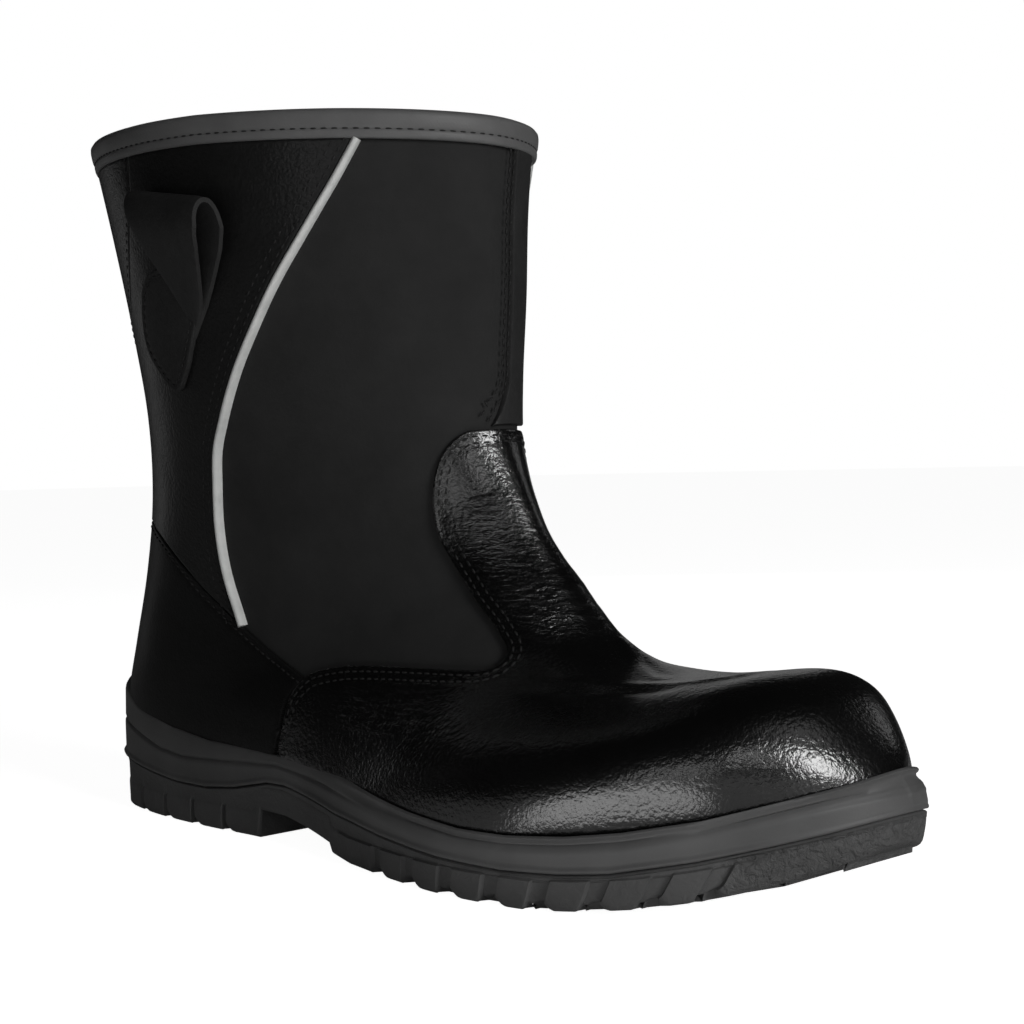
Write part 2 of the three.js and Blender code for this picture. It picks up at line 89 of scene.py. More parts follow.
LAST_ROWS = [
    # backX backZ frontX frontZ lat   med   ridge belly low  high
    (8.5, 240.0, 178.0, 240.0, 67.0, 67.0, 0.0, 0.47, 2.0, 1.80),
    (14.5, 215.0, 174.8, 215.0, 62.0, 62.0, 0.0, 0.47, 2.0, 1.80),
    (21.0, 185.0, 173.0, 188.0, 57.0, 57.0, 0.0, 0.47, 2.0, 1.80),
    (25.5, 155.0, 173.5, 162.0, 51.5, 51.5, 0.0, 0.46, 2.0, 1.80),
    (27.0, 128.0, 173.5, 139.0, 46.0, 46.0, 0.0, 0.45, 2.0, 1.80),
    (23.5, 102.0, 175.0, 121.0, 41.0, 41.0, 0.5, 0.42, 2.0, 1.80),
    (16.5, 76.0, 179.0, 109.0, 37.5, 37.0, 1.0, 0.37, 2.0, 1.80),
    (8.5, 50.0, 183.0, 100.0, 35.5, 35.0, 1.5, 0.33, 2.1, 1.80),
    (8.0, 30.0, 187.0, 92.0, 35.0, 34.0, 2.0, 0.32, 2.6, 1.80),
    (25.0, 20.0, 191.8, 85.0, 35.0, 33.0, 2.5, 0.30, 3.5, 1.85),
    (65.0, 19.5, 196.7, 79.0, 36.0, 33.0, 3.0, 0.28, 4.5, 1.90),
    (105.0, 19.0, 203.5, 71.0, 37.5, 30.5, 3.5, 0.26, 5.0, 1.95),
    (140.0, 16.0, 210.8, 62.5, 42.0, 32.0, 4.0, 0.24, 5.0, 2.00),
    (170.0, 13.5, 221.0, 55.5, 48.0, 39.0, 4.5, 0.24, 5.0, 2.10),
    (198.0, 12.0, 233.0, 53.0, 51.5, 46.0, 5.0, 0.26, 5.0, 2.20),
    (222.0, 12.0, 247.0, 52.4, 51.5, 50.0, 5.5, 0.28, 5.0, 2.30),
    (244.0, 14.0, 261.0, 53.6, 47.5, 50.5, 6.0, 0.30, 4.5, 2.40),
    (263.0, 16.0, 274.0, 55.0, 41.0, 45.0, 6.5, 0.32, 4.0, 2.50),
    (278.0, 17.5, 283.0, 54.2, 34.0, 37.3, 6.5, 0.36, 3.5, 2.40),
    (289.0, 19.0, 290.3, 51.0, 25.0, 28.2, 6.5, 0.40, 3.2, 2.30),
    (296.0, 21.0, 296.2, 45.6, 17.0, 21.6, 6.5, 0.45, 2.8, 2.10),
    (300.5, 23.0, 300.7, 39.5, 9.0, 16.2, 6.5, 0.48, 2.3, 2.00),
    (303.0, 26.0, 303.1, 34.5, 2.5, 11.0, 6.5, 0.50, 2.0, 2.00),
    (304.0, 29.0, 304.0, 31.5, -5.0, 8.0, 6.5, 0.50, 2.0, 2.00),
]
COLUMNS = [np.array(column) for column in zip(*LAST_ROWS)]
LAST_PLACE = len(LAST_ROWS) - 1


def between(a, b, c, d, f):
    """Smooth curve from b to c at a share f of the way, coming from a and going on to d."""
    return b + 0.5 * f * (c - a + f * (2 * a - 5 * b + 4 * c - d + f * (3 * (b - c) + d - a)))


def unit_rows(vectors):
    return vectors / np.maximum(np.linalg.norm(vectors, axis=-1, keepdims=True), 1e-9)


def run_along(points):
    """Distance of each point from the first, along the line."""
    return np.concatenate([[0], np.cumsum(np.linalg.norm(np.diff(points, axis=0), axis=1))])


def at_runs(at, run, points):
    return np.stack([np.interp(at, run, points[:, k]) for k in range(points.shape[1])], -1)


def along_rows(values, place):
    """Curve through table values, at a place counted in rows."""
    last = len(values) - 1
    at = np.clip(place, 0, last - 1e-9)
    row = np.floor(at).astype(int)
    return between(*(values[np.clip(row + k, 0, last)] for k in (-1, 0, 1, 2)), at - row)


def last_point(place, turn):
    """Points of the last. turn is 0 at the back, 0.25 on the outer side, 0.5 at the front."""
    at = [along_rows(column, place) for column in COLUMNS]
    back_x, back_z, front_x, front_z, lat, med, ridge, belly, low, high = at
    c = np.cos(2 * np.pi * turn)
    s = np.sin(2 * np.pi * turn)
    power = 2 / np.where(c >= 0, low, high)
    bow = np.abs(c) ** power
    share = np.where(c >= 0, belly * (1 - bow), belly + (1 - belly) * bow)
    side = np.where(s >= 0, -(lat + ridge), med - ridge)
    y = ridge + side * np.abs(s) ** power
    return np.stack([back_x + (front_x - back_x) * share, y, back_z + (front_z - back_z) * share], -1)


NORMAL_TURN, NORMAL_PLACE = 0.01, 0.1


def last_normal(place, turn):
    up = last_point(np.maximum(place - NORMAL_PLACE, 0), turn)
    down = last_point(np.minimum(place + NORMAL_PLACE, LAST_PLACE - 1e-6), turn)
    around = last_point(place, turn + NORMAL_TURN) - last_point(place, turn - NORMAL_TURN)
    return unit_rows(np.cross(around, up - down))


def surface(place, turn, grow=0.0):
    return last_point(place, turn) + last_normal(place, turn) * grow


def on_last(spots, grow=0.0):
    """Points in space of (place, turn) spots, on the last grown by that much."""
    return surface(spots[:, 0], spots[:, 1], grow)


def normal_at(spots):
    return last_normal(spots[:, 0], spots[:, 1])


SECTION_STEP = 0.01
SECTION_GRID = np.arange(0, LAST_PLACE - SECTION_STEP, SECTION_STEP)


def section_of(points):
    """Section and turn on the outer side for points of the side view."""
    back, front = (np.stack([along_rows(COLUMNS[k], SECTION_GRID) for k in pair], -1)
                   for pair in ((0, 1), (2, 3)))
    along = front - back
    offset = points[:, None, :] - back[None]
    side = along[None, :, 0] * offset[..., 1] - along[None, :, 1] * offset[..., 0]
    share = (offset * along[None]).sum(-1) / (along ** 2).sum(-1)[None]
    change = (side[:, :-1] > 0) != (side[:, 1:] > 0)
    miss = np.maximum(np.maximum(-share[:, :-1], share[:, :-1] - 1), 0) + np.where(change, 0, 1e6)
    k = np.argmin(miss, axis=1)
    rows = np.arange(len(points))
    f = side[rows, k] / (side[rows, k] - side[rows, k + 1] + 1e-12)
    place = SECTION_GRID[k] + np.clip(f, 0, 1) * SECTION_STEP
    portion = share[rows, k] + (share[rows, k + 1] - share[rows, k]) * np.clip(f, 0, 1)
    belly, low, high = (along_rows(COLUMNS[c], place) for c in (7, 8, 9))
    rear = portion < belly
    bow = np.where(rear, 1 - portion / belly, (portion - belly) / (1 - belly))
    c = np.clip(bow, 0, 1) ** (np.where(rear, low, high) / 2)
    turn = np.arccos(np.where(rear, c, -c)) / (2 * np.pi)
    return place, turn, portion


def on_side(line, grow=1.8):
    """(place, turn) on the outer side of side-view points, on the last grown by that much.

    A line that leaves the side view ends at the middle line."""
    target = np.asarray(line, float)
    base = target.copy()
    for _ in range(5):
        place, turn, portion = section_of(base)
        normal = last_normal(place, turn)
        base = target - normal[:, [0, 2]] * grow
    inside = (portion > 0) & (portion < 1)
    turn[portion >= 1] = 0.5
    turn[portion <= 0] = 0.0
    keep = inside.copy()
    for k in np.nonzero(inside)[0]:
        if k > 0 and not inside[k - 1]:
            keep[k - 1] = True
        if k + 1 < len(inside) and not inside[k + 1]:
            keep[k + 1] = True
    return np.stack([place, turn], -1)[keep]


# Lines of the side view

LIP_LINE = [(-10, 45), (0, 43.6), (8, 41.6), (17, 39.4), (25, 37.4), (36, 34.4), (45, 32.2), (57, 29.6),
            (78, 27), (104, 26.6), (131, 25.6), (155, 23.4), (189, 19.5), (211, 17.9), (228, 18), (246, 19.2),
            (261, 21.2), (279, 25), (293.5, 29.4), (304, 32.6), (313, 36), (325, 39)]
RIB_LINE = [(-10, 17), (20, 16.5), (37, 15), (63, 12.9), (80, 12.8), (95, 14.2), (112, 17.4), (122, 17.6),
            (135, 15.8), (151, 13.4), (176, 11.6), (206, 10), (228, 9.4), (245, 10), (258, 11.2), (278, 15.2),
            (292, 18.8), (301, 21.3), (308, 23.6), (325, 29)]
GROOVE_LINE = [(-10, 31), (20, 28), (37, 25), (52, 22), (66, 20.8), (90, 21.6), (116, 22.8), (140, 20.6),
               (158, 18.6), (189, 15.6), (211, 14.2), (228, 14.4), (246, 15.6), (261, 17.4), (279, 21.2),
               (293.5, 25.4), (304, 28.4), (325, 33)]
BREAST_AT = 106
BREAST_RUN = 0.5
BOTTOM_LINE = [(-10, 5), (0, 3.6), (12, 1.6), (22, 0.4), (28, 0), (BREAST_AT, 0),
               (BREAST_AT + BREAST_RUN, 8.5), (120, 8.2), (130, 6.6), (140, 4.9), (147, 3.7), (148, 1.2),
               (158, 0), (236, 0), (250, 1.1), (264, 2.8), (277, 5.2), (292, 8.8), (300, 11.2), (307, 14.2),
               (325, 21)]
COLLAR_LINE = [(-20, 216.3), (60, 216), (112, 215.2), (150, 213.6), (180, 212.2), (340, 204)]
PIPING_LINE = [(163.6, 217), (158.5, 207.5), (151.7, 195), (146, 186), (139.4, 176.5), (130.6, 165),
               (121.3, 152.7), (111.4, 140), (101.8, 126.3), (96, 117), (92.7, 107), (89.8, 95), (89.2, 84),
               (90.6, 74.5), (94.7, 63), (97, 57)]
COUNTER_LINE = [(0, 97), (38.8, 95.5), (50, 92.5), (59.2, 88.3), (69.8, 81.3), (78.2, 74.3), (94.7, 63),
                (109, 55.3), (125.2, 49.3)]
VAMP_REAR = [(125.2, 49.3), (121.8, 46.2), (119.5, 42.7), (118, 36.9), (116, 29.3), (112, 10)]
VAMP_TOP = [(125.2, 49.3), (129.2, 51.5), (137.8, 53.4), (149.9, 54.6), (173.5, 55.2), (192, 55.4),
            (197, 56.4), (198.4, 58.6), (197.4, 61), (194.5, 63.6), (189.7, 67.5), (182.9, 72.5), (175, 79.3),
            (169.2, 86.3), (166, 92), (164.8, 99), (165.5, 107.5), (167.1, 113.6), (169.8, 118.6),
            (172.5, 121.3), (200, 124)]
BACK_SEAM = [(84, 219), (79.5, 207), (76, 196), (68, 181), (58.3, 166.5), (47, 155), (38, 143), (33, 128),
             (31, 112), (30, 90)]
FRONT_STRIP = {"outer_top": 13, "inner_top": 26, "outer_low": 3, "inner_low": 15, "top": 215, "low": 112}

GAP = 0.3
PANEL_FACE = 1.8
PIPING_HALF = 1.3
BINDING_HEIGHT = 8.2
EDGE_DROP = 1.5


def height_on(line, x):
    xs, zs = zip(*line)
    return np.interp(x, xs, zs)


def raised(line, by):
    return [(x, z + by) for x, z in line]


def smooth_line(points, step=0.6):
    """Points along a smooth curve through the given ones, about a step apart."""
    points = np.asarray(points, float)
    place = np.linspace(0, len(points) - 1, 40 * len(points))
    dense = np.stack([along_rows(points[:, k], place) for k in range(points.shape[1])], -1)
    return spaced(dense, step)


def spaced(points, step):
    points = np.asarray(points, float)
    run = run_along(points)
    count = max(int(round(run[-1] / step)), 1)
    return at_runs(np.linspace(0, run[-1], count + 1), run, points)


def shifted(line, by):
    """Line moved sideways, to its left when walked along."""
    line = np.asarray(line, float)
    along = unit_rows(np.gradient(line, axis=0))
    return line + np.stack([-along[:, 1], along[:, 0]], -1) * by


def crossing(one, other):
    """First point where two lines cross, with its place in both."""
    one = np.asarray(one, float)
    other = np.asarray(other, float)
    for i in range(len(one) - 1):
        p, r = one[i], one[i + 1] - one[i]
        for j in range(len(other) - 1):
            q, s = other[j], other[j + 1] - other[j]
            across = r[0] * s[1] - r[1] * s[0]
            if abs(across) < 1e-12:
                continue
            gap = q - p
            t = (gap[0] * s[1] - gap[1] * s[0]) / across
            u = (gap[0] * r[1] - gap[1] * r[0]) / across
            if 0 <= t <= 1 and 0 <= u <= 1:
                return p + t * r, i, j
    raise ValueError("the lines don't cross")


def part_of(line, start=None, end=None):
    """The stretch of a line from where it crosses one line to where it crosses another."""
    line = np.asarray(line, float)
    first, last = 0, len(line)
    head, tail = [], []
    if start is not None:
        point, i, _ = crossing(line, start)
        head, first = [point], i + 1
    if end is not None:
        point, i, _ = crossing(line, end)
        tail, last = [point], i + 1
    middle = line[first:last]
    return np.array([*head, *middle, *tail])


# Flat map of the last for triangulation: turn across, mean distance down the outer side along

MAP_WIDTH = 380.0
MAP_PLACES = np.linspace(0, LAST_PLACE, 600)
MAP_TURN = 0.32
MAP_RUN = run_along(last_point(MAP_PLACES, np.full_like(MAP_PLACES, MAP_TURN)))


def to_map(spots):
    return np.stack([spots[:, 1] * MAP_WIDTH, np.interp(spots[:, 0], MAP_PLACES, MAP_RUN)], -1)


def from_map(flat):
    return np.stack([np.interp(flat[:, 1], MAP_RUN, MAP_PLACES), flat[:, 0] / MAP_WIDTH], -1)


def inside_polygon(points, polygon):
    inside = np.zeros(len(points), bool)
    for (xa, ya), (xb, yb) in zip(polygon, np.roll(polygon, -1, axis=0)):
        if ya == yb:
            continue
        hit = ((ya > points[:, 1]) != (yb > points[:, 1]))
        cross_x = xa + (points[:, 1] - ya) * (xb - xa) / (yb - ya)
        inside ^= hit & (points[:, 0] < cross_x)
    return inside


def distance_to(points, lines):
    """Distance in space from points to the nearest of some lines, each a row of close points."""
    starts = np.concatenate([line[:-1] for line in lines])
    ends = np.concatenate([line[1:] for line in lines])
    middle = (starts + ends) / 2
    tree = KDTree(len(middle))
    for k, p in enumerate(middle):
        tree.insert(p, k)
    tree.balance()
    best = np.full(len(points), 1e9)
    for k, p in enumerate(points):
        for _, segment, _ in tree.find_n(p, 3):
            a, b = starts[segment], ends[segment]
            ab = b - a
            t = min(max(float(((p - a) @ ab) / max(ab @ ab, 1e-12)), 0), 1)
            best[k] = min(best[k], float(np.linalg.norm(p - a - ab * t)))
    return best


SMALL = 1e-3


def sideways(spots, by, toward=1):
    """(place, turn) points moved across their own line by a distance in space, to the left for toward 1."""
    points = on_last(spots)
    across = np.cross(normal_at(spots), unit_rows(np.gradient(points, axis=0))) * toward * by
    by_place = (surface(np.minimum(spots[:, 0] + SMALL, LAST_PLACE), spots[:, 1]) - points) / SMALL
    by_turn = (surface(spots[:, 0], spots[:, 1] + SMALL) - points) / SMALL
    aa, ab, bb = (by_place ** 2).sum(1), (by_place * by_turn).sum(1), (by_turn ** 2).sum(1)
    ca, cb = (across * by_place).sum(1), (across * by_turn).sum(1)
    det = np.maximum(aa * bb - ab ** 2, 1e-9)
    return spots + np.stack([(ca * bb - cb * ab) / det, (cb * aa - ca * ab) / det], -1)


def ring_faces(rings, count, flip=False):
    """Quads between closed rings of count points each."""
    faces = []
    for r in range(rings - 1):
        for k in range(count):
            n = (k + 1) % count
            quad = (r * count + k, r * count + n, (r + 1) * count + n, (r + 1) * count + k)
            faces.append(quad[::-1] if flip else quad)
    return faces


def to_world(points):
    return (np.asarray(points, float) + SHIFT) * MM


def make_object(name, points, faces, material, node=None, sharp=35, attributes=None):
    mesh = bpy.data.meshes.new(name)
    mesh.from_pydata([tuple(p) for p in to_world(points)], [], faces)
    mesh.polygons.foreach_set("use_smooth", [True] * len(mesh.polygons))
    if sharp:
        mesh.set_sharp_from_angle(angle=math.radians(sharp))
    for key, values in (attributes or {}).items():
        layer = mesh.attributes.new(key, "FLOAT", "POINT")
        layer.data.foreach_set("value", np.asarray(values, np.float32))
    mesh.materials.append(material)
    mesh.update()
    made = bpy.data.objects.new(name, mesh)
    bpy.context.scene.collection.objects.link(made)
    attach(made, "root")
    if node:
        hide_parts(node)
    return made


# Materials


class Shader:
    """A material's nodes, made by short calls."""

    def __init__(self, name):
        self.material = bpy.data.materials.new(name)
        self.material.use_nodes = True
        self.nodes = self.material.node_tree.nodes
        self.links = self.material.node_tree.links
        self.surface = self.nodes["Principled BSDF"]
        self.place = self.add("ShaderNodeTexCoord").outputs["Object"]

    def add(self, kind, settings=None, **inputs):
        made = self.nodes.new(kind)
        for key, value in (settings or {}).items():
            setattr(made, key, value)
        for key, value in inputs.items():
            socket = made.inputs[int(key[1:])] if key[0] == "i" and key[1:].isdigit() else made.inputs[key]
            if isinstance(value, bpy.types.NodeSocket):
                self.links.new(value, socket)
            else:
                socket.default_value = value
        return made

    def stretched(self, x, y, z, turn=(0, 0, 0)):
        return self.add("ShaderNodeMapping", Vector=self.place, Scale=(x, y, z), Rotation=turn).outputs[0]

    def noise(self, scale, detail=3, roughness=0.55, vector=None, distortion=0.0):
        made = self.add("ShaderNodeTexNoise", Vector=vector or self.place, Scale=scale, Detail=detail,
                        Roughness=roughness, Distortion=distortion)
        return made.outputs["Fac"]

    def cells(self, scale, feature="SMOOTH_F1", smooth=0.4, vector=None):
        made = self.add("ShaderNodeTexVoronoi", {"feature": feature}, Vector=vector or self.place,
                        Scale=scale)
        if feature == "SMOOTH_F1":
            made.inputs["Smoothness"].default_value = smooth
        return made.outputs["Distance"]

    def math(self, operation, one, other):
        return self.add("ShaderNodeMath", {"operation": operation}, i0=one, i1=other).outputs[0]

    def span(self, value, low, high, to_low, to_high):
        made = self.add("ShaderNodeMapRange", Value=value)
        made.inputs["From Min"].default_value = low
        made.inputs["From Max"].default_value = high
        made.inputs["To Min"].default_value = to_low
        made.inputs["To Max"].default_value = to_high
        return made.outputs[0]

    def colors(self, value, *stops):
        ramp = self.add("ShaderNodeValToRGB", Fac=value)
        elements = ramp.color_ramp.elements
        while len(elements) < len(stops):
            elements.new(0.5)
        for element, (at, grey) in zip(elements, stops):
            element.position = at
            element.color = (*grey, 1) if isinstance(grey, tuple) else (grey, grey, grey, 1)
        return ramp.outputs["Color"]

    def attribute(self, name):
        return self.add("ShaderNodeAttribute", {"attribute_name": name}).outputs["Fac"]

    def bump(self, height, depth_mm, strength=1.0, after=None):
        made = self.add("ShaderNodeBump", Height=height, Distance=depth_mm * MM, Strength=strength)
        if after is not None:
            self.links.new(after, made.inputs["Normal"])
        return made.outputs[0]

    def finish(self, color=None, roughness=None, normal=None, coat_normal=None, **values):
        for key, socket in (("Base Color", color), ("Roughness", roughness), ("Normal", normal),
                            ("Coat Normal", coat_normal)):
            if isinstance(socket, bpy.types.NodeSocket):
                self.links.new(socket, self.surface.inputs[key])
            elif socket is not None:
                self.surface.inputs[key].default_value = socket
        for key, value in values.items():
            self.surface.inputs[key.replace("_", " ")].default_value = value
        return self.material


MOTTLE = 0.25


def leather(name, grey, rough, coat, grain_mm=1.25, grain_depth=0.05, coat_ior=1.5):
    """Finished grain leather: pebbles with fine creases between them, under a soft coat."""
    s = Shader(name)
    drift = s.noise(60, 3)
    warp = s.noise(350, 2)
    lift = s.add("ShaderNodeVectorMath", {"operation": "ADD"}, i0=s.place,
                 i1=s.add("ShaderNodeVectorMath", {"operation": "SCALE"}, i0=s.add(
                     "ShaderNodeTexNoise", Vector=s.place, Scale=420.0, Detail=2.0).outputs["Color"],
                     Scale=0.0011).outputs[0]).outputs[0]
    pebble = s.cells(1000 / grain_mm, vector=lift, smooth=0.25)
    fine = s.cells(1000 / (grain_mm * 0.42), vector=lift, smooth=0.2)
    pores = s.noise(2600, 2, vector=lift)
    hill = s.math("MULTIPLY", s.math("SUBTRACT", 0.75, pebble), s.span(drift, 0.3, 0.7, 0.45, 1.0))
    height = s.math("ADD", hill, s.math("MULTIPLY", fine, -0.35))
    height = s.math("ADD", height, s.math("MULTIPLY", pores, 0.22))
    wrinkle = s.attribute("wrinkle")
    lines = s.noise(1, 4, 0.6, s.stretched(230, 230, 760, (0.25, 0.15, 0)), 0.4)
    normal = s.bump(height, grain_depth * 2.2)
    normal = s.bump(s.math("MULTIPLY", lines, wrinkle), 0.9, 1.0, normal)
    soft = s.noise(28, 2)
    normal = s.bump(soft, 1.2, 0.35, normal)
    tone = s.math("ADD", s.math("MULTIPLY", warp, 0.4), s.math("MULTIPLY", drift, 0.6))
    color = s.colors(tone, (0.25, grey * (1 - MOTTLE)), (0.8, grey * (1 + MOTTLE)))
    roughness = s.math("ADD", rough, s.math("MULTIPLY", s.math("SUBTRACT", drift, 0.5), 0.16))
    return s.finish(color, roughness, normal, normal, Coat_Weight=coat, Coat_Roughness=0.2,
                    Coat_IOR=coat_ior, Specular_IOR_Level=0.2)


def nubuck(name, grey):
    s = Shader(name)
    nap = s.noise(3200, 2, 0.7)
    cloud = s.noise(45, 4, 0.6)
    grain = s.cells(900, smooth=0.6)
    height = s.math("ADD", s.math("MULTIPLY", nap, 0.5), s.math("MULTIPLY", grain, -0.5))
    normal = s.bump(height, 0.06)
    normal = s.bump(s.noise(30, 2), 1.0, 0.3, normal)
    color = s.colors(cloud, (0.3, grey * 0.86), (0.72, grey * 1.16))
    return s.finish(color, 0.86, normal, Sheen_Weight=0.03, Sheen_Roughness=0.5, Specular_IOR_Level=0.12)


def rubber(name, grey, rough, stipple=False):
    s = Shader(name)
    cloud = s.noise(40, 4)
    grain = s.noise(1500, 3, 0.6)
    normal = s.bump(grain, 0.045)
    if stipple:
        rough_skin = s.math("MULTIPLY", s.noise(420, 4, 0.6, distortion=0.8), s.attribute("stipple"))
        normal = s.bump(rough_skin, 2.2, 1.0, normal)
    color = s.colors(cloud, (0.3, grey * 0.85), (0.75, grey * 1.15))
    roughness = s.math("ADD", rough, s.math("MULTIPLY", s.math("SUBTRACT", cloud, 0.5), 0.2))
    return s.finish(color, roughness, normal, Specular_IOR_Level=0.4)


def reflective(name, grey):
    s = Shader(name)
    weave = s.cells(1400, "F1")
    dirt = s.noise(160, 4)
    color = s.colors(dirt, (0.25, (grey * 0.8, grey * 0.82, grey * 0.8)),
                     (0.6, (grey, grey * 1.01, grey * 0.99)))
    return s.finish(color, 0.5, s.bump(weave, 0.05), Specular_IOR_Level=0.5)


def tape(name, grey):
    """Folded synthetic binding: fine cross ribs, satin."""
    s = Shader(name)
    rib = s.add("ShaderNodeTexWave", {"wave_type": "BANDS", "bands_direction": "DIAGONAL"}, Vector=s.place,
                Scale=420.0, Distortion=1.5, Detail=2.0).outputs["Fac"]
    grain = s.noise(1800, 2)
    height = s.math("ADD", s.math("MULTIPLY", rib, 0.25), grain)
    cloud = s.noise(70, 3)
    color = s.colors(cloud, (0.3, grey * 0.88), (0.7, grey * 1.1))
    return s.finish(color, 0.5, s.bump(height, 0.05), Specular_IOR_Level=0.45, Sheen_Weight=0.05)


def textile(name, grey):
    s = Shader(name)
    weave = s.cells(650, "F1")
    color = s.colors(weave, (0.1, grey * 1.25), (0.6, grey * 0.55))
    return s.finish(color, 0.9, s.bump(weave, -0.25), Specular_IOR_Level=0.2, Sheen_Weight=0.1)


def thread(name, grey):
    s = Shader(name)
    twist = s.noise(3000, 2)
    return s.finish(s.colors(twist, (0.3, grey * 0.7), (0.7, grey * 1.3)), 0.6, s.bump(twist, 0.05),
                    Specular_IOR_Level=0.35)


VAMP_LEATHER = leather("vamp_leather", 0.002, 0.36, 1.0, 1.3, 0.05, 1.85)
REAR_LEATHER = leather("rear_leather", 0.009, 0.44, 0.35, 1.15, 0.045)
COUNTER_LEATHER = leather("counter_leather", 0.007, 0.5, 0.08, 1.0, 0.03)
LOOP_LEATHER = leather("loop_leather_look", 0.03, 0.6, 0.05, 0.9, 0.03)
STRIP_LEATHER = leather("strip_leather", 0.03, 0.6, 0.05, 1.0, 0.03)
NUBUCK = nubuck("side_nubuck", 0.03)
SOLE_RUBBER = rubber("outsole_rubber", 0.115, 0.62, True)
MIDSOLE_RUBBER = rubber("midsole_skin", 0.125, 0.5)
PIPING_SKIN = reflective("piping_skin", 0.8)
BINDING_TAPE = tape("binding_skin", 0.14)
LINING = textile("lining_textile", 0.06)
INSOLE_TEXTILE = textile("insole_textile", 0.1)
DARK_THREAD = thread("dark_thread", 0.015)

# Panels


RING_STEPS = (0.18, 0.5, 1.0, 1.8, 2.7)
EDGE_ROUND = 0.55
DIP_DEEP, DIP_WIDE = 0.22, 0.55
SKIRT_BELOW = 0.25


def edge_height(distance, thick):
    """Height of a cut edge's rounding above the panel's underside."""
    d = np.clip(distance / EDGE_ROUND, 0, 1)
    return thick - EDGE_ROUND * (1 - np.sqrt(np.clip(1 - (1 - d) ** 2, 0, 1)))


def panel(name, outline, free, material, node=None, base=GAP, thick=PANEL_FACE - GAP,
          spacing=1.35, relief=None, dips=(), wrinkle=None):
    """A leather panel over the last.

    outline is its closed (place, turn) edge, and free the parts of that edge that show."""
    flat_edge = to_map(outline)
    free_space = [on_last(line) for line in free]
    rings = []
    for step in RING_STEPS:
        for line in free:
            for toward in (1, -1):
                moved = to_map(sideways(line, step, toward))
                good = inside_polygon(moved, flat_edge)
                far = distance_to(on_last(from_map(moved)), free_space) > 0.85 * step
                rings.append(moved[good & far])
    low, high = flat_edge.min(0), flat_edge.max(0)
    across = np.arange(low[0], high[0], spacing)
    along = np.arange(low[1], high[1], spacing * 0.87)
    grid = np.array([(x + (0.5 * spacing if k % 2 else 0), y) for k, y in enumerate(along) for x in across])
    grid = grid[inside_polygon(grid, flat_edge)]
    inside = on_last(from_map(grid))
    far = distance_to(inside, free_space) > RING_STEPS[-1] + 0.45 * spacing
    near_edge = distance_to(inside, [on_last(np.concatenate([outline, outline[:1]]))]) < 0.4 * spacing
    grid = grid[far & ~near_edge]
    cloud = np.concatenate([flat_edge, *rings, grid])
    flat, _, faces, origins, _, _ = delaunay_2d_cdt(
        [Vector(p) for p in cloud], [], [list(range(len(flat_edge)))], 1, 1e-5)
    flat = np.array([tuple(p) for p in flat])
    spots = from_map(flat)
    ground = on_last(spots)
    distance = distance_to(ground, free_space)
    height = base + edge_height(distance, thick)
    for place_mm in dips:
        height = height - DIP_DEEP * np.exp(-((distance - place_mm) / DIP_WIDE) ** 2)
    if relief is not None:
        height = height + relief(ground) * np.clip(distance / 2.5, 0, 1)
    points = ground + normal_at(spots) * height[:, None]
    out_index = {}
    for k, ids in enumerate(origins):
        for i in ids:
            out_index[i] = k
    count = len(flat_edge)
    edge_ids = [out_index[i] for i in range(count)]
    skirt = on_last(outline, base - SKIRT_BELOW)
    start = len(points)
    faces = [list(f) for f in faces]
    a, b, c = (points[k] for k in faces[0][:3])
    flip = np.cross(b - a, c - a) @ normal_at(spots[faces[0][:1]])[0] < 0
    if flip:
        faces = [f[::-1] for f in faces]
    ahead = np.roll(flat_edge, -1, axis=0)
    area = 0.5 * np.sum(flat_edge[:, 0] * ahead[:, 1] - ahead[:, 0] * flat_edge[:, 1])
    for k in range(count):
        n = (k + 1) % count
        quad = [edge_ids[k], edge_ids[n], start + n, start + k]
        if (area > 0) != flip:
            quad = quad[::-1]
        faces.append(quad)
    points = np.concatenate([points, skirt])
    wrinkles = np.zeros(len(points))
    if wrinkle is not None:
        wrinkles[:start] = wrinkle(ground)
    return make_object(name, points, faces, material, node, attributes={"wrinkle": wrinkles})


def mirrored(spots):
    return np.stack([spots[:, 0], 1 - spots[:, 1]], -1)


STITCH_SIDES, STITCH_RINGS, STITCH_LIFT = 6, 5, 0.05


def stitches(name, lines, grow, pitch=2.9, length=2.1, thick=0.62):
    """Rows of thread stitches along (place, turn) lines, lying in the surface."""
    sides, rings = STITCH_SIDES, STITCH_RINGS
    around = np.arange(sides) * 2 * np.pi / sides
    unit = []
    for r in range(rings):
        t = -1 + 2 * r / (rings - 1)
        size = max(math.sqrt(max(1 - abs(t) ** 2.6, 0)), 0.12)
        drop = -0.55 * t ** 4
        unit += [(t, size * math.cos(a), size * math.sin(a) + drop) for a in around]
    unit = np.array(unit)
    faces_one = ring_faces(rings, sides)
    faces_one.append(tuple(range(sides))[::-1])
    faces_one.append(tuple((rings - 1) * sides + k for k in range(sides)))
    points, faces = [], []
    for line in lines:
        run = run_along(on_last(line))
        count = int(run[-1] // pitch)
        at = (np.arange(count) + 0.5) * run[-1] / max(count, 1)
        spots, ahead, before = (at_runs(at + by, run, line) for by in (0, 0.5, -0.5))
        centre = on_last(spots, grow + STITCH_LIFT)
        normal = normal_at(spots)
        along = unit_rows(on_last(ahead) - on_last(before))
        across = np.cross(normal, along)
        for k in range(count):
            base = len(points) * len(unit)
            points.append(centre[k] + unit[:, :1] * along[k] * length / 2
                          + unit[:, 1:2] * across[k] * thick / 2 + unit[:, 2:] * normal[k] * thick / 2)
            faces += [tuple(base + i for i in f) for f in faces_one]
    return make_object(name, np.concatenate(points), faces, DARK_THREAD, sharp=0)


# Seam lines on the last

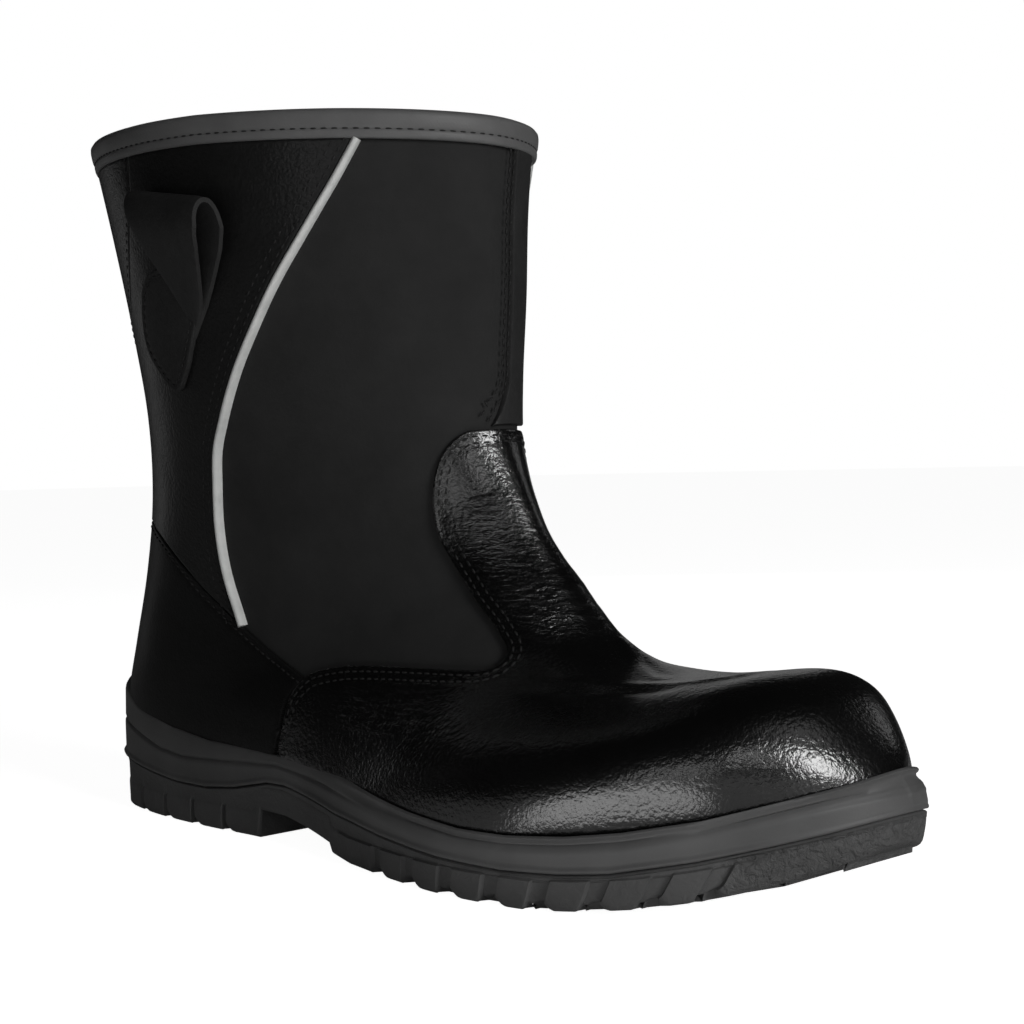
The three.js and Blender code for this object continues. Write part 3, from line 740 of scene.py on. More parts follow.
# The panels end below the lip of the sole and lie closer to the last there
LOW_EDGE = raised(LIP_LINE, -3.5)
LOW_GROW = 0.9
SEAM_ROWS = {"vamp": (1.9, 4.1), "counter": (1.9,), "quarter": (1.7, 4.4), "strip": (1.8, 4.2)}
THREAD_SUNK = 0.12
binding_low = raised(COLLAR_LINE, -BINDING_HEIGHT)
panel_top = raised(binding_low, -GAP)
vamp_top = smooth_line(VAMP_TOP[:-1])
vamp_top = np.concatenate([vamp_top, spaced([VAMP_TOP[-2], (183, 122.6), VAMP_TOP[-1]], 0.6)[1:]])
vamp_rear = part_of(smooth_line(VAMP_REAR), end=LOW_EDGE)
counter_line = smooth_line([(-6, 97.2), *COUNTER_LINE])
piping_line = smooth_line(PIPING_LINE)
back_seam = smooth_line(BACK_SEAM)


def low_edge(x_from, x_to):
    xs = np.arange(x_from, x_to, 0.8 if x_to > x_from else -0.8)
    return np.stack([xs, height_on(LOW_EDGE, xs)], -1)


# Vamp
top = on_side(vamp_top)
rear = on_side(vamp_rear)[::-1]
TOE_END = 301.5
low = on_side(low_edge(vamp_rear[-1][0] + 0.5, TOE_END), LOW_GROW)
nose = LAST_PLACE - 0.02
low_tip = np.array([(p, low[-1][1]) for p in np.linspace(low[-1][0], nose, 8)[1:]])
nose_arc = np.array([(nose, t) for t in np.linspace(low_tip[-1][1], 1 - low_tip[-1][1], 14)[1:-1]])
upper_edge = np.concatenate([rear, top[1:]])
vamp_free = np.concatenate([upper_edge, mirrored(upper_edge)[::-1][1:]])
low_side = np.concatenate([low, low_tip])
vamp_outline = np.concatenate([vamp_free, mirrored(low_side), nose_arc[::-1], low_side[::-1]])

CREASES = [
    # height half_width, points (x, y, z) along it
    (-1.3, 2.0, [(208, 30, 60), (213, 22, 60), (217, 12, 59), (223, 6.5, 57.3), (231, 1.5, 55.7),
                 (240, -5, 54.3)]),
    (0.8, 2.2, [(212, 8, 61.5), (217, 5.5, 59), (224, 1.5, 57), (232, -3.5, 55.3), (242, -10, 53.6)]),
    (0.75, 2.6, [(213, -25, 53.6), (219, -22, 53.5), (230, -19, 53.1), (243, -14, 53.3), (257, -10, 53.9),
                 (265, -4, 54.8), (268, 8, 55)]),
    (-0.5, 2.4, [(209, -30, 50), (219, -27.5, 49.8), (231, -25, 49.6), (244, -20.5, 50), (257, -17, 50.8)]),
    (0.5, 1.8, [(146, -37.5, 47), (158, -37.6, 45.2), (171, -38.2, 44.4), (184, -39.5, 45)]),
    (-0.35, 1.4, [(142, -38, 43.6), (156, -38.6, 41.8), (172, -39.8, 41), (186, -41, 42)]),
    (0.35, 1.6, [(146, -39, 40), (160, -39.6, 38), (176, -41, 37.6)]),
    (0.16, 1.5, [(188, -15, 88), (191, -8, 86), (194, 0, 85.4), (191, 8, 86), (188, 15, 88)]),
    (-0.14, 1.3, [(189, -16, 84.4), (193, -9, 82), (196, 0, 81), (193, 9, 82), (189, 16, 84.4)]),
    (0.16, 1.6, [(192, -18, 79.6), (197, -10, 76.6), (200, 0, 75.4), (197, 10, 76.6), (192, 18, 79.6)]),
    (-0.15, 1.4, [(196, -20, 74), (201, -11, 71), (205, 0, 69.6), (201, 11, 71), (196, 20, 74)]),
    (0.2, 1.7, [(198, -23, 69.4), (205, -13, 66), (210, -2, 64.4), (208, 10, 65.4), (201, 21, 68)]),
]


def near_line(ground, points):
    """Distance of points in space to a smooth line through the given ones, and a fade at its ends."""
    line = spaced(smooth_line(points, 1.0), 1.0)
    gap = np.sqrt(((ground[:, None] - line[None]) ** 2).sum(-1))
    nearest = gap.argmin(1)
    share = nearest / (len(line) - 1)
    return gap.min(1), np.clip(np.minimum(share, 1 - share) / 0.16, 0, 1) ** 0.7


def vamp_relief(ground):
    """The throat's fold, the ridge beside it and the walking creases."""
    lift = np.zeros(len(ground))
    for height, half_width, points in CREASES:
        away, fade = near_line(ground, points)
        lift += height * np.exp(-(away / half_width) ** 2) * fade
    return lift


WRINKLED = [
    # weight reach, points (x, y, z) along the middle
    (1.0, 8.0, [(176, -10, 103), (180, -9.5, 92), (185, -9.5, 84), (192.5, -11, 76), (201, -12, 68),
                (209, -13, 61)]),
    (1.0, 8.0, [(176, 10, 103), (180, 9.5, 92), (185, 9.5, 84), (192.5, 11, 76), (201, 12, 68),
                (209, 13, 61)]),
    (0.55, 7.0, [(181, -3, 104), (186, -3, 92), (193, -5, 81), (203, -6, 70), (212, -4, 62)]),
    (0.45, 9.0, [(140, -37, 46), (154, -38, 44), (171, -39, 42), (188, -41, 42)]),
    (0.45, 9.0, [(140, 37, 46), (154, 38, 44), (171, 39, 42), (188, 41, 42)]),
]


def vamp_wrinkle(ground):
    weight = np.full(len(ground), 0.04)
    for most, reach, points in WRINKLED:
        away, fade = near_line(ground, points)
        weight = np.maximum(weight, most * np.exp(-(away / reach) ** 2) * fade)
    return weight


panel("vamp_panel", vamp_outline, [vamp_free], VAMP_LEATHER, "vamp", relief=vamp_relief,
      wrinkle=vamp_wrinkle, dips=SEAM_ROWS["vamp"])
stitches("vamp_stitches", [sideways(vamp_free, d, -1) for d in SEAM_ROWS["vamp"]], PANEL_FACE - THREAD_SUNK)

# Counter
keep_rear = shifted(vamp_rear, -GAP)
counter_top = on_side(counter_line[:-1])
counter_top[0, 1] = 0.0
counter_front = on_side(keep_rear[:-1])
back_low = on_side(low_edge(keep_rear[-1][0] - 0.8, 9.0), LOW_GROW)


def behind(spots):
    """The same line on the inner side, counted backwards from the back's middle."""
    return np.stack([spots[:, 0], -spots[:, 1]], -1)


counter_side = np.concatenate([counter_top, counter_front])
counter_free = np.concatenate([behind(counter_side)[::-1], counter_side[1:]])
counter_low = np.concatenate([back_low, behind(back_low)[::-1]])
counter_seam = np.concatenate([behind(counter_top)[::-1], counter_top[1:]])
panel("counter_panel", np.concatenate([counter_free, counter_low]), [counter_free], COUNTER_LEATHER,
      "counter", dips=SEAM_ROWS["counter"])
stitches("counter_stitches", [sideways(counter_seam, d, -1) for d in SEAM_ROWS["counter"]],
         PANEL_FACE - THREAD_SUNK)

# Quarters and back strip
panel_top_line = spaced(panel_top, 0.6)
counter_above = shifted(counter_line, GAP)
seam_ahead = shifted(back_seam, GAP)


def sided(line, side):
    return line if side < 0 else mirrored(line)


# The inner piping and the edge of its quarter lie further back than the outer ones
INNER_PIPING_BACK = 5.0
for side, word, back in ((-1, "lateral", 0.0), (1, "medial", INNER_PIPING_BACK)):
    quarter_edge = shifted(piping_line, -PIPING_HALF - GAP - back)
    quarter_left = on_side(part_of(seam_ahead, start=panel_top_line, end=counter_above))
    quarter_low = on_side(part_of(counter_above, start=seam_ahead, end=quarter_edge))
    quarter_right = on_side(part_of(quarter_edge, start=panel_top_line, end=counter_above))
    quarter_top = on_side(part_of(panel_top_line, start=seam_ahead, end=quarter_edge))
    quarter_outline = np.concatenate([quarter_left, quarter_low[1:], quarter_right[::-1][1:],
                                      quarter_top[::-1][1:-1]])
    edges = [sided(line, side) for line in (quarter_left, quarter_low, quarter_right, quarter_top)]
    panel("quarter_" + word + "_panel", sided(quarter_outline, side), edges, REAR_LEATHER, "quarter_" + word)
    stitches("quarter_" + word + "_stitches",
             [sideways(sided(quarter_right, side), d, side) for d in SEAM_ROWS["quarter"]],
             PANEL_FACE - THREAD_SUNK)

strip_side = on_side(part_of(back_seam, start=panel_top_line, end=counter_above))
strip_low = on_side(part_of(counter_above, end=back_seam))
strip_low[0, 1] = 0.0
strip_top = on_side(part_of(panel_top_line, end=back_seam))
strip_top = np.concatenate([[(strip_top[0, 0], 0.0)], strip_top[strip_top[:, 1] > 0.004]])
half = np.concatenate([strip_top, strip_side[1:], strip_low[::-1][1:]])
back_outline = np.concatenate([half, behind(half)[::-1][1:-1]])
back_free = [strip_side, behind(strip_side), strip_low, behind(strip_low), strip_top, behind(strip_top)]
panel("back_strip_panel", back_outline, back_free, REAR_LEATHER, "back_strip")
back_row = sideways(strip_side, SEAM_ROWS["strip"][0], -1)
stitches("back_strip_stitches", [back_row, behind(back_row)], PANEL_FACE - THREAD_SUNK)

# Front strip


def on_front(points):
    """(place, turn) on the inner half of the front for given side distances and heights."""
    place = np.full(len(points), 2.5)
    turn = np.full(len(points), 0.56)
    for _ in range(12):
        now = surface(place, turn, PANEL_FACE)[:, 1:]
        by_place = (surface(place + SMALL, turn, PANEL_FACE)[:, 1:] - now) / SMALL
        by_turn = (surface(place, turn + SMALL, PANEL_FACE)[:, 1:] - now) / SMALL
        miss = points - now
        det = by_place[:, 0] * by_turn[:, 1] - by_place[:, 1] * by_turn[:, 0]
        det = np.where(np.abs(det) < 1e-6, 1e-6, det)
        place = np.clip(place + (miss[:, 0] * by_turn[:, 1] - miss[:, 1] * by_turn[:, 0]) / det, 0.2, 6)
        turn = np.clip(turn + (by_place[:, 0] * miss[:, 1] - by_place[:, 1] * miss[:, 0]) / det, 0.40, 0.75)
    return np.stack([place, turn], -1)


STRIP_TOP, STRIP_BASE = 204.4, 122.8
FLARE_WIDE, FLARE_TOP = 7.5, 138
heights = np.arange(STRIP_BASE, STRIP_TOP, 0.6)
share = (heights - FRONT_STRIP["low"]) / (FRONT_STRIP["top"] - FRONT_STRIP["low"])
flare = FLARE_WIDE * np.clip((FLARE_TOP - heights) / (FLARE_TOP - STRIP_BASE), 0, 1) ** 1.5


def strip_edge(word, less):
    low_y, top_y = FRONT_STRIP[word + "_low"], FRONT_STRIP[word + "_top"]
    return on_front(np.stack([low_y + (top_y - low_y) * share - less, heights], -1))


outer, inner = strip_edge("outer", flare), strip_edge("inner", 0)
across_low = np.linspace(outer[0], inner[0], 26)
across_top = np.linspace(outer[-1], inner[-1], 26)
front_outline = np.concatenate([outer[::-1], across_low[1:-1], inner, across_top[::-1][1:-1]])
panel("front_strip_panel", front_outline, [outer, inner, across_low], STRIP_LEATHER, "front_strip",
      spacing=1.2)
stitches("front_strip_stitches", [sideways(outer, d, 1) for d in SEAM_ROWS["strip"]], PANEL_FACE - 0.2)

# Piping

PIPING_LOW = 0.1


def bead(word, spots, high):
    """Rounded cord lying along a line of the last, its top that high above it."""
    steps = 12
    ground = on_last(spots)
    normal = normal_at(spots)
    across = np.cross(normal, unit_rows(np.gradient(ground, axis=0)))
    angles = np.linspace(0, np.pi, steps)
    points = []
    for k in range(len(spots)):
        for a in angles:
            points.append(ground[k] + across[k] * PIPING_HALF * math.cos(a)
                          + normal[k] * (PIPING_LOW + (high - PIPING_LOW) * math.sin(a) ** 0.8))
    faces = []
    for k in range(len(spots) - 1):
        for i in range(steps - 1):
            base = k * steps + i
            faces.append((base, base + 1, base + steps + 1, base + steps))
    faces.append(tuple(range(steps)))
    faces.append(tuple(range((len(spots) - 1) * steps, len(spots) * steps))[::-1])
    make_object("piping_" + word + "_cord", points, faces, PIPING_SKIN, "piping_" + word,
                sharp=50)


for side, word, line, high in ((-1, "lateral", piping_line, 2.8),
                               (1, "medial", shifted(piping_line, -INNER_PIPING_BACK), 2.0)):
    bead(word, sided(on_side(part_of(line, start=panel_top_line, end=counter_above), high), side), high)

# Upper and lining


def place_at(turn, line, drop, grow=0.0):
    """Section place where the last, at some turns, reaches a side-view line less a drop."""
    low, high = np.full(len(turn), 0.05), np.full(len(turn), 6.0)
    for _ in range(40):
        middle = (low + high) / 2
        point = surface(middle, turn, grow)
        above = point[:, 2] > height_on(line, point[:, 0]) - drop
        low, high = np.where(above, middle, low), np.where(above, high, middle)
    return (low + high) / 2


def shell(name, grow, material, node, row_step, columns, inward=False):
    turn = np.arange(columns) / columns
    first = place_at(turn, COLLAR_LINE, EDGE_DROP)
    run_first = np.interp(first, MAP_PLACES, MAP_RUN)
    rows = int(MAP_RUN[-1] / row_step)
    points = []
    for r in range(rows + 1):
        run = run_first + (MAP_RUN[-1] - 0.05 - run_first) * r / rows
        points.append(surface(np.interp(run, MAP_RUN, MAP_PLACES), turn, grow))
    make_object(name, np.concatenate(points), ring_faces(rows + 1, columns, not inward), material, node,
                sharp=0)


shell("upper_shell", 0.0, NUBUCK, "upper", 2.2, 230)
shell("lining_shell", -2.0, LINING, None, 4.5, 110, True)

# Collar binding

BINDING_PROFILE = [
    # grow  drop
    (0.9, 8.5), (1.7, 8.55), (2.2, 8.2), (2.35, 7.6), (2.35, 6.6), (2.25, 6.2), (1.95, 5.8), (2.25, 5.4),
    (2.45, 4.8), (2.5, 3.5), (2.45, 2.1), (2.25, 1.1), (1.6, 0.35), (0.6, 0.02), (-1.2, 0.0), (-2.6, 0.3),
    (-3.3, 1.1), (-3.5, 2.4), (-3.5, 4.8), (-3.3, 5.6), (-3.5, 6.4), (-3.5, 7.8), (-3.1, 8.4), (-2.3, 8.5),
]


BINDING_ROW = 5.8


def binding():
    count = 360
    turn = np.arange(count) / count
    points = [surface(place_at(turn, COLLAR_LINE, drop, grow), turn, grow) for grow, drop in BINDING_PROFILE]
    make_object("collar_binding_tape", np.concatenate(points), ring_faces(len(points), count), BINDING_TAPE,
                "collar_binding", sharp=60)
    line = np.stack([place_at(turn, COLLAR_LINE, BINDING_ROW, 2.0), turn], -1)
    stitches("binding_stitches", [np.concatenate([line, line[:1] + [[0, 1]]])], 1.95, pitch=3.0, length=2.2,
             thick=0.6)


binding()

# Pull loops

LOOP_PATH = [(3.7, 151), (4.5, 157), (6.3, 162), (9.2, 168.5), (12.2, 175), (13.7, 180), (13.4, 184.3),
             (11.6, 188), (8.7, 190), (5.7, 189.6), (3.6, 186.9), (2.5, 182.6), (2.1, 176), (1.9, 168),
             (1.9, 158), (1.9, 151.4)]
LOOP_THICK = 1.9
LOOP_REST = 1.9
LOOP_EDGE_STEPS, LOOP_EDGE_ROUND, LOOP_CURL = 13, 0.25, 0.35
LOOP_REAR = [(151, 97.5), (156, 98), (161, 96.5), (167, 94.5), (173, 92), (179, 89.5), (185, 86.8),
             (191, 85.5)]
LOOP_FRONT = [(151, 98.4), (157.3, 103.9), (163.5, 109.1), (170.3, 114.4), (175.6, 118.4), (181.7, 121.4),
              (190, 121.7)]
LOOP_RISE = {"high": 6.0, "from": 158, "to": 186}
INNER_LOOP = {"flat": 0.75, "back": 12}
PATCH_SIDES = [(75, 167), (71.5, 160), (70.2, 152), (73.5, 145), (84, 136), (91.5, 141), (96, 147),
               (99.5, 152.5), (104, 160), (104, 168), (92, 172.5), (81.5, 171.7)]
PATCH_ROW = 2.0
LOOP_TURN = 0.28


def pull_loop(side, word):
    turn = LOOP_TURN if side < 0 else 1 - LOOP_TURN
    back = 0 if side < 0 else INNER_LOOP["back"]
    flat = 1 if side < 0 else INNER_LOOP["flat"]
    shaft = last_point(np.linspace(0.5, 6, 300), turn)
    path = smooth_line(LOOP_PATH, 0.9)
    stand = LOOP_REST + (path[:, 0] - LOOP_REST) * flat
    along = unit_rows(np.gradient(np.stack([stand, path[:, 1]], -1), axis=0))
    out = np.stack([along[:, 1], -along[:, 0]], -1)
    shaft_y = np.interp(-path[:, 1], -shaft[:, 2], np.abs(shaft[:, 1]))
    ring = []
    for deep, way in ((0, 1), (LOOP_THICK, -1)):
        for u in np.linspace(0, 1, LOOP_EDGE_STEPS)[::way]:
            edge = max(1 - min(u, 1 - u) * LOOP_EDGE_STEPS, 0)
            ring.append((u, -deep - way * LOOP_EDGE_ROUND * edge ** 2))
    points = []
    for k, (_, z) in enumerate(path):
        rear = np.interp(z, *zip(*LOOP_REAR)) - back
        front = np.interp(z, *zip(*LOOP_FRONT)) - back
        share = np.clip((z - LOOP_RISE["from"]) / (LOOP_RISE["to"] - LOOP_RISE["from"]), 0, 1)
        rise = LOOP_RISE["high"] * share
        for u, depth in ring:
            s, h = np.array([stand[k], z]) + out[k] * depth
            curl = LOOP_CURL * (2 * u - 1) ** 2
            points.append((rear + (front - rear) * u, side * (shaft_y[k] + s - curl), h + rise * (1 - u)))
    size = len(ring)
    faces = ring_faces(len(path), size, side > 0)
    faces.append(tuple(range(size)))
    faces.append(tuple(range((len(path) - 1) * size, len(path) * size))[::-1])
    make_object("pull_loop_" + word + "_strap", points, faces, LOOP_LEATHER, "pull_loop_" + word,
                sharp=50, attributes={"wrinkle": np.zeros(len(points))})
    outline = on_side(smooth_line([(x - back, z) for x, z in PATCH_SIDES + PATCH_SIDES[:1]])[:-1], 3.5)
    outline = sided(outline, side)
    loop = np.concatenate([outline, outline[:1]])
    panel("pull_loop_" + word + "_patch", outline, [loop], LOOP_LEATHER, None, 2.1, 1.4, 1.2,
          dips=(PATCH_ROW,))
    stitches("pull_loop_" + word + "_stitches", [sideways(loop, PATCH_ROW, -side)], 3.4)


pull_loop(-1, "lateral")
pull_loop(1, "medial")

# Sole

SOLE_ROWS = [
    # along lat  med
    (0.3, 8.5, 8.5), (3.5, 15.5, 15.5), (9, 22.0, 22.0), (16, 27.6, 27.6), (25, 32.2, 32.0),
    (36, 35.5, 35.0), (49, 38.0, 36.9), (66, 39.6, 37.4), (85, 40.2, 36.5), (105, 40.1, 34.5),
    (131, 42.1, 33.8), (156, 47.2, 37.5), (181, 53.2, 44.0), (206, 56.7, 51.0), (231, 55.4, 54.6),
    (253, 50.3, 54.2), (272, 42.5, 49.0), (286, 33.0, 41.0), (296.5, 22.8, 31.2), (304, 12.6, 22.2),
    (308.5, 3.0, 14.0),
]
HEEL_BACK, TOE_TIP, TOE_SIDE = -1.5, 310, 6.5
TUCK_REACH = 26
HEEL_NOTCHES = [38, 55, 72, 89]
FORE_NOTCHES = [(172, 0), (188.5, 2), (204.5, 6), (220, 12), (235, 18), (250, 24), (264, 30), (277, 34)]
FORE_NOTCH_WIDE = 5.2
HEEL_NOTCH_WIDE = 1.9
LUG_STAND = 1.3
LUGS_FROM, LUGS_TO = 150, 286
LEDGE = 0.75
NOTCH_COLUMNS = (-0.6, -0.3, 0.0, 0.3, 0.6, 1.0, 1.5, 2.1, 2.8, 3.6)
CORNER_HIGH, CORNER_RUN, FRONT_CORNER_HIGH, FRONT_CORNER_RUN = 2.1, 3.6, 0.8, 1.3
HEEL_NOTCH_DEEP = 2.8


def sole_outline():
    """Closed plan outline from the heel's back round the outer side, and its distance along."""
    corners = [(HEEL_BACK, 0.0)] + [(x, -lat) for x, lat, _ in SOLE_ROWS] + [(TOE_TIP, TOE_SIDE)]
    corners += [(x, med) for x, _, med in reversed(SOLE_ROWS)]
    corners = np.array(corners, float)
    count = len(corners)
    places = np.arange(0, count, 0.02)
    row = np.floor(places).astype(int)
    f = (places - row)[:, None]
    line = between(*(corners[(row + k) % count] for k in (-1, 0, 1, 2)), f)
    closed = np.concatenate([line, line[:1]])
    return closed, run_along(closed)


OUTLINE, OUTLINE_RUN = sole_outline()
ROUND = OUTLINE_RUN[-1]
TOE_RUN = OUTLINE_RUN[np.argmax(OUTLINE[:, 0])]


def outline_at(run):
    """Points of the sole's outline at distances along it, and the outward way at each."""
    run = np.mod(run, ROUND)
    at, ahead, before = (at_runs(np.mod(run + by, ROUND), OUTLINE_RUN, OUTLINE) for by in (0, 0.6, -0.6))
    along = unit_rows(ahead - before)
    return at, np.stack([along[:, 1], -along[:, 0]], -1)


def run_of(x, side):
    on = OUTLINE[:, 1] < TOE_SIDE * OUTLINE[:, 0] / TOE_TIP
    chosen = on if side < 0 else ~on
    k = np.nonzero(chosen)[0][np.argmin(np.abs(OUTLINE[chosen, 0] - x))]
    return OUTLINE_RUN[k]


NOTCHES = []
for side in (-1, 1):
    for x in HEEL_NOTCHES:
        NOTCHES.append((run_of(x, side), HEEL_NOTCH_WIDE, 0.0, HEEL_NOTCH_DEEP, side))
    for x, lean in FORE_NOTCHES:
        NOTCHES.append((run_of(x + FORE_NOTCH_WIDE / 2, side), FORE_NOTCH_WIDE, lean, LUG_STAND, side))


def sole_columns():
    runs = list(np.arange(0, ROUND, 1.7))
    for run, wide, _, _, _ in NOTCHES:
        runs += [run + way * (wide / 2 + d) for way in (-1, 1) for d in NOTCH_COLUMNS]
    runs = np.sort(np.mod(runs, ROUND))
    return runs[np.concatenate([[True], np.diff(runs) > 0.12])]


def ring_points(runs, inset, z):
    at, out = outline_at(runs)
    return np.concatenate([at - out * inset[:, None], z[:, None]], 1)


def tucks(x):
    return (np.clip(1 - (x - HEEL_BACK) / TUCK_REACH, 0, 1), np.clip(1 - (TOE_TIP - x) / TUCK_REACH, 0, 1))


def loft_rows(name, rows, material, node, attributes=None, sharp=40, extra=None):
    points = np.concatenate(rows)
    faces = ring_faces(len(rows), len(rows[0]))
    if extra is not None:
        more_points, more_faces = extra(points)
        points = np.concatenate([points, more_points])
        faces += more_faces
    return make_object(name, points, faces, material, node, sharp=sharp, attributes=attributes(points)
                       if attributes else None)


MIDSOLE_SIDE = [
    # inset at the heel and at the forefoot, line, lift, tucks at heel and toe. Along the lip of the
    # forefoot the inset counts from the face of the upper, outward where it is below 0
    (6.0, 6.0, RIB_LINE, 0.2, 0.6, 0.7), (1.2, 1.2, RIB_LINE, 0.1, 0.6, 0.7),
    (0.1, 0.2, RIB_LINE, 0.15, 0.6, 0.7), (-0.35, -0.05, RIB_LINE, 0.45, 0.6, 0.7),
    (-0.45, -0.1, RIB_LINE, 0.85, 0.6, 0.7), (-0.25, 0.1, RIB_LINE, 1.25, 0.6, 0.7),
    (0.25, 0.4, RIB_LINE, 1.6, 0.2, 0.4), (0.5, 0.45, RIB_LINE, 2.2, 0, 0.3),
    (0.45, 0.3, GROOVE_LINE, -1.6, 0, 1.0), (0.5, 0.28, GROOVE_LINE, -1.0, 0, 1.0),
    (0.75, 0.3, GROOVE_LINE, -0.55, 0, 1.2), (1.25, 0.36, GROOVE_LINE, -0.2, 0, 1.4),
    (1.45, 0.45, GROOVE_LINE, 0.1, 0, 1.5), (1.15, 0.6, GROOVE_LINE, 0.45, 0, 1.5),
    (0.8, 0.85, GROOVE_LINE, 0.8, 0, 1.5), (0.7, 1.25, GROOVE_LINE, 1.3, -0.2, 1.6),
    (1.0, -0.95, LIP_LINE, -2.1, -0.6, 0), (1.2, -0.9, LIP_LINE, -1.5, -0.8, 0),
    (1.5, -1.45, LIP_LINE, -1.0, -0.8, 0), (2.0, -1.65, LIP_LINE, -0.45, -0.8, 0),
    (2.8, -1.25, LIP_LINE, -0.05, -0.6, 0), (3.3, -0.7, LIP_LINE, 0.0, 1.0, 0),
    (3.6, -0.45, LIP_LINE, -0.45, 3.0, 0), (4.0, -0.3, LIP_LINE, -1.3, 5.0, 0),
    (4.6, 0.9, LIP_LINE, -2.6, 5.0, 0), (5.2, 1.6, LIP_LINE, -4.5, 5.0, 0),
]
FOREFOOT_FROM, FOREFOOT_RUN = 138, 36
MOULD_LINE_HIGH, MOULD_LINE_WIDE = 0.4, 1.1


LEAST_LIP_INSET = 0.55
NEAR_LIP = {"from_place": 8, "steps": 900, "around": 1100, "within": 0.4, "beside": 1.6, "reach": 25}


def upper_inset(runs):
    """How far inside the sole's outline the upper's face lies, at the height of the lip."""
    place, turn = np.meshgrid(np.linspace(NEAR_LIP["from_place"], LAST_PLACE - 0.02, NEAR_LIP["steps"]),
                              np.arange(NEAR_LIP["around"]) / NEAR_LIP["around"], indexing="ij")
    face = surface(place.ravel(), turn.ravel(), PANEL_FACE)
    ring = face[np.abs(face[:, 2] - height_on(LIP_LINE, face[:, 0])) < NEAR_LIP["within"]][:, :2]
    at, out = outline_at(runs)
    found = []
    for point, way in zip(at, out):
        offset = ring - point
        inward = -offset @ way
        beside = np.abs(offset @ np.array([-way[1], way[0]]))
        near = (beside < NEAR_LIP["beside"]) & (inward < NEAR_LIP["reach"])
        found.append(inward[near].min() if near.any() else 3.0)
    found = np.array(found)
    return sum(np.roll(found, k) for k in range(-3, 4)) / 7


def midsole():
    runs = np.sort(np.concatenate([np.arange(0, ROUND, 1.3), TOE_RUN + np.arange(-2.2, 2.3, 0.37)]))
    at, _ = outline_at(runs)
    heel, toe = tucks(at[:, 0])
    fore = np.clip((at[:, 0] - FOREFOOT_FROM) / FOREFOOT_RUN, 0, 1)
    fore = fore * fore * (3 - 2 * fore)
    seam = MOULD_LINE_HIGH * np.exp(-((runs - TOE_RUN) / MOULD_LINE_WIDE) ** 2)
    hug = upper_inset(runs)
    rows = []
    for rear_inset, fore_inset, line, lift, heel_tuck, toe_tuck in MIDSOLE_SIDE:
        if line is LIP_LINE:
            fore_inset = np.maximum(hug + fore_inset, LEAST_LIP_INSET)
        depth = rear_inset + (fore_inset - rear_inset) * fore + heel_tuck * heel + toe_tuck * toe
        if line is GROOVE_LINE:
            depth = depth - seam
        rows.append(ring_points(runs, depth, height_on(line, at[:, 0]) + lift))
    loft_rows("midsole_body", rows, MIDSOLE_RUBBER, "midsole", sharp=55)


OUTSOLE_SIDE = [
    # inset line height above it (or above the bottom line where it is None), heel and toe tuck
    (1.7, None, 0.0, 11, 4.0), (1.0, None, 0.35, 10.4, 3.4), (0.55, None, 0.9, 9.8, 2.8),
    (0.4, None, 1.6, 9.0, 2.3), (0.4, None, 2.6, 8.0, 1.9), (0.4, None, 3.8, 7.0, 1.6),
    (0.4, None, 5.0, 6.0, 1.3), (0.4, None, 6.2, 5.0, 1.1), (0.4, None, 7.0, 4.4, 1.0),
    (0.45, None, 7.5, 4.1, 0.9), (0.55, None, 7.9, 3.9, 0.8), (0.7, None, 8.3, 3.7, 0.8),
    (0.6, RIB_LINE, -2.0, 3.2, 0.6), (0.55, RIB_LINE, -1.2, 2.0, 0.6), (0.5, RIB_LINE, -0.7, 1.4, 0.6),
    (0.9, RIB_LINE, -0.35, 1.2, 0.6), (1.8, RIB_LINE, -0.1, 1.2, 0.6), (6.0, RIB_LINE, -0.05, 1.2, 0.6),
]


LUG_TOP, RIB_CLEAR = 8.3, 1.6
FOOT_HIGH, FOOT_TUCK = 3.0, 0.35
NOTCH_LIFT, NOTCH_TOP, NOTCH_FADE, NOTCH_EDGE = 1.3, 7.0, 1.1, 0.45
LEDGE_FROM, LEDGE_TO = 7.9, -1.0
NOTCH_STARTS, NOTCH_ENDS, LEAST_NOTCH_WIDE = 5.0, 15.5, 2.4
TREAD_DEEP = 4.5
CROSS_GROOVE_WIDE = 3.0
CROSS_GROOVES = [(30, 42), (52, 42), (74, 42), (192, 60), (208, 60), (224, 60), (240, 60), (256, 60)]
STIPPLE_FROM, STIPPLE_RUN = 281, 6


def lug_field(runs):
    """How far each column lies in a notch (1) or on a lug (0), and how deep its notch is."""
    notch, deep = np.zeros(len(runs)), np.zeros(len(runs))
    for run, wide, _, depth, _ in NOTCHES:
        off = np.abs((runs - run + ROUND / 2) % ROUND - ROUND / 2)
        inside = np.clip((wide / 2 - off) / NOTCH_EDGE + 0.5, 0, 1)
        notch = np.maximum(notch, inside)
        deep = np.where(inside > 0, depth, deep)
    return notch, deep


def corner_lift(runs):
    """How far the lugs' lower corners are rounded off, more at each lug's rear end than at its front."""
    lift = np.zeros(len(runs))
    for run, wide, _, _, side in NOTCHES:
        ahead = -side * ((runs - run + ROUND / 2) % ROUND - ROUND / 2)
        to_front = np.clip(1 - (ahead - wide / 2) / CORNER_RUN, 0, 1) * (ahead > 0)
        to_rear = np.clip(1 - (-ahead - wide / 2) / FRONT_CORNER_RUN, 0, 1) * (ahead <= 0)
        lift = np.maximum(lift, CORNER_HIGH * to_front ** 2 + FRONT_CORNER_HIGH * to_rear ** 2)
    return lift


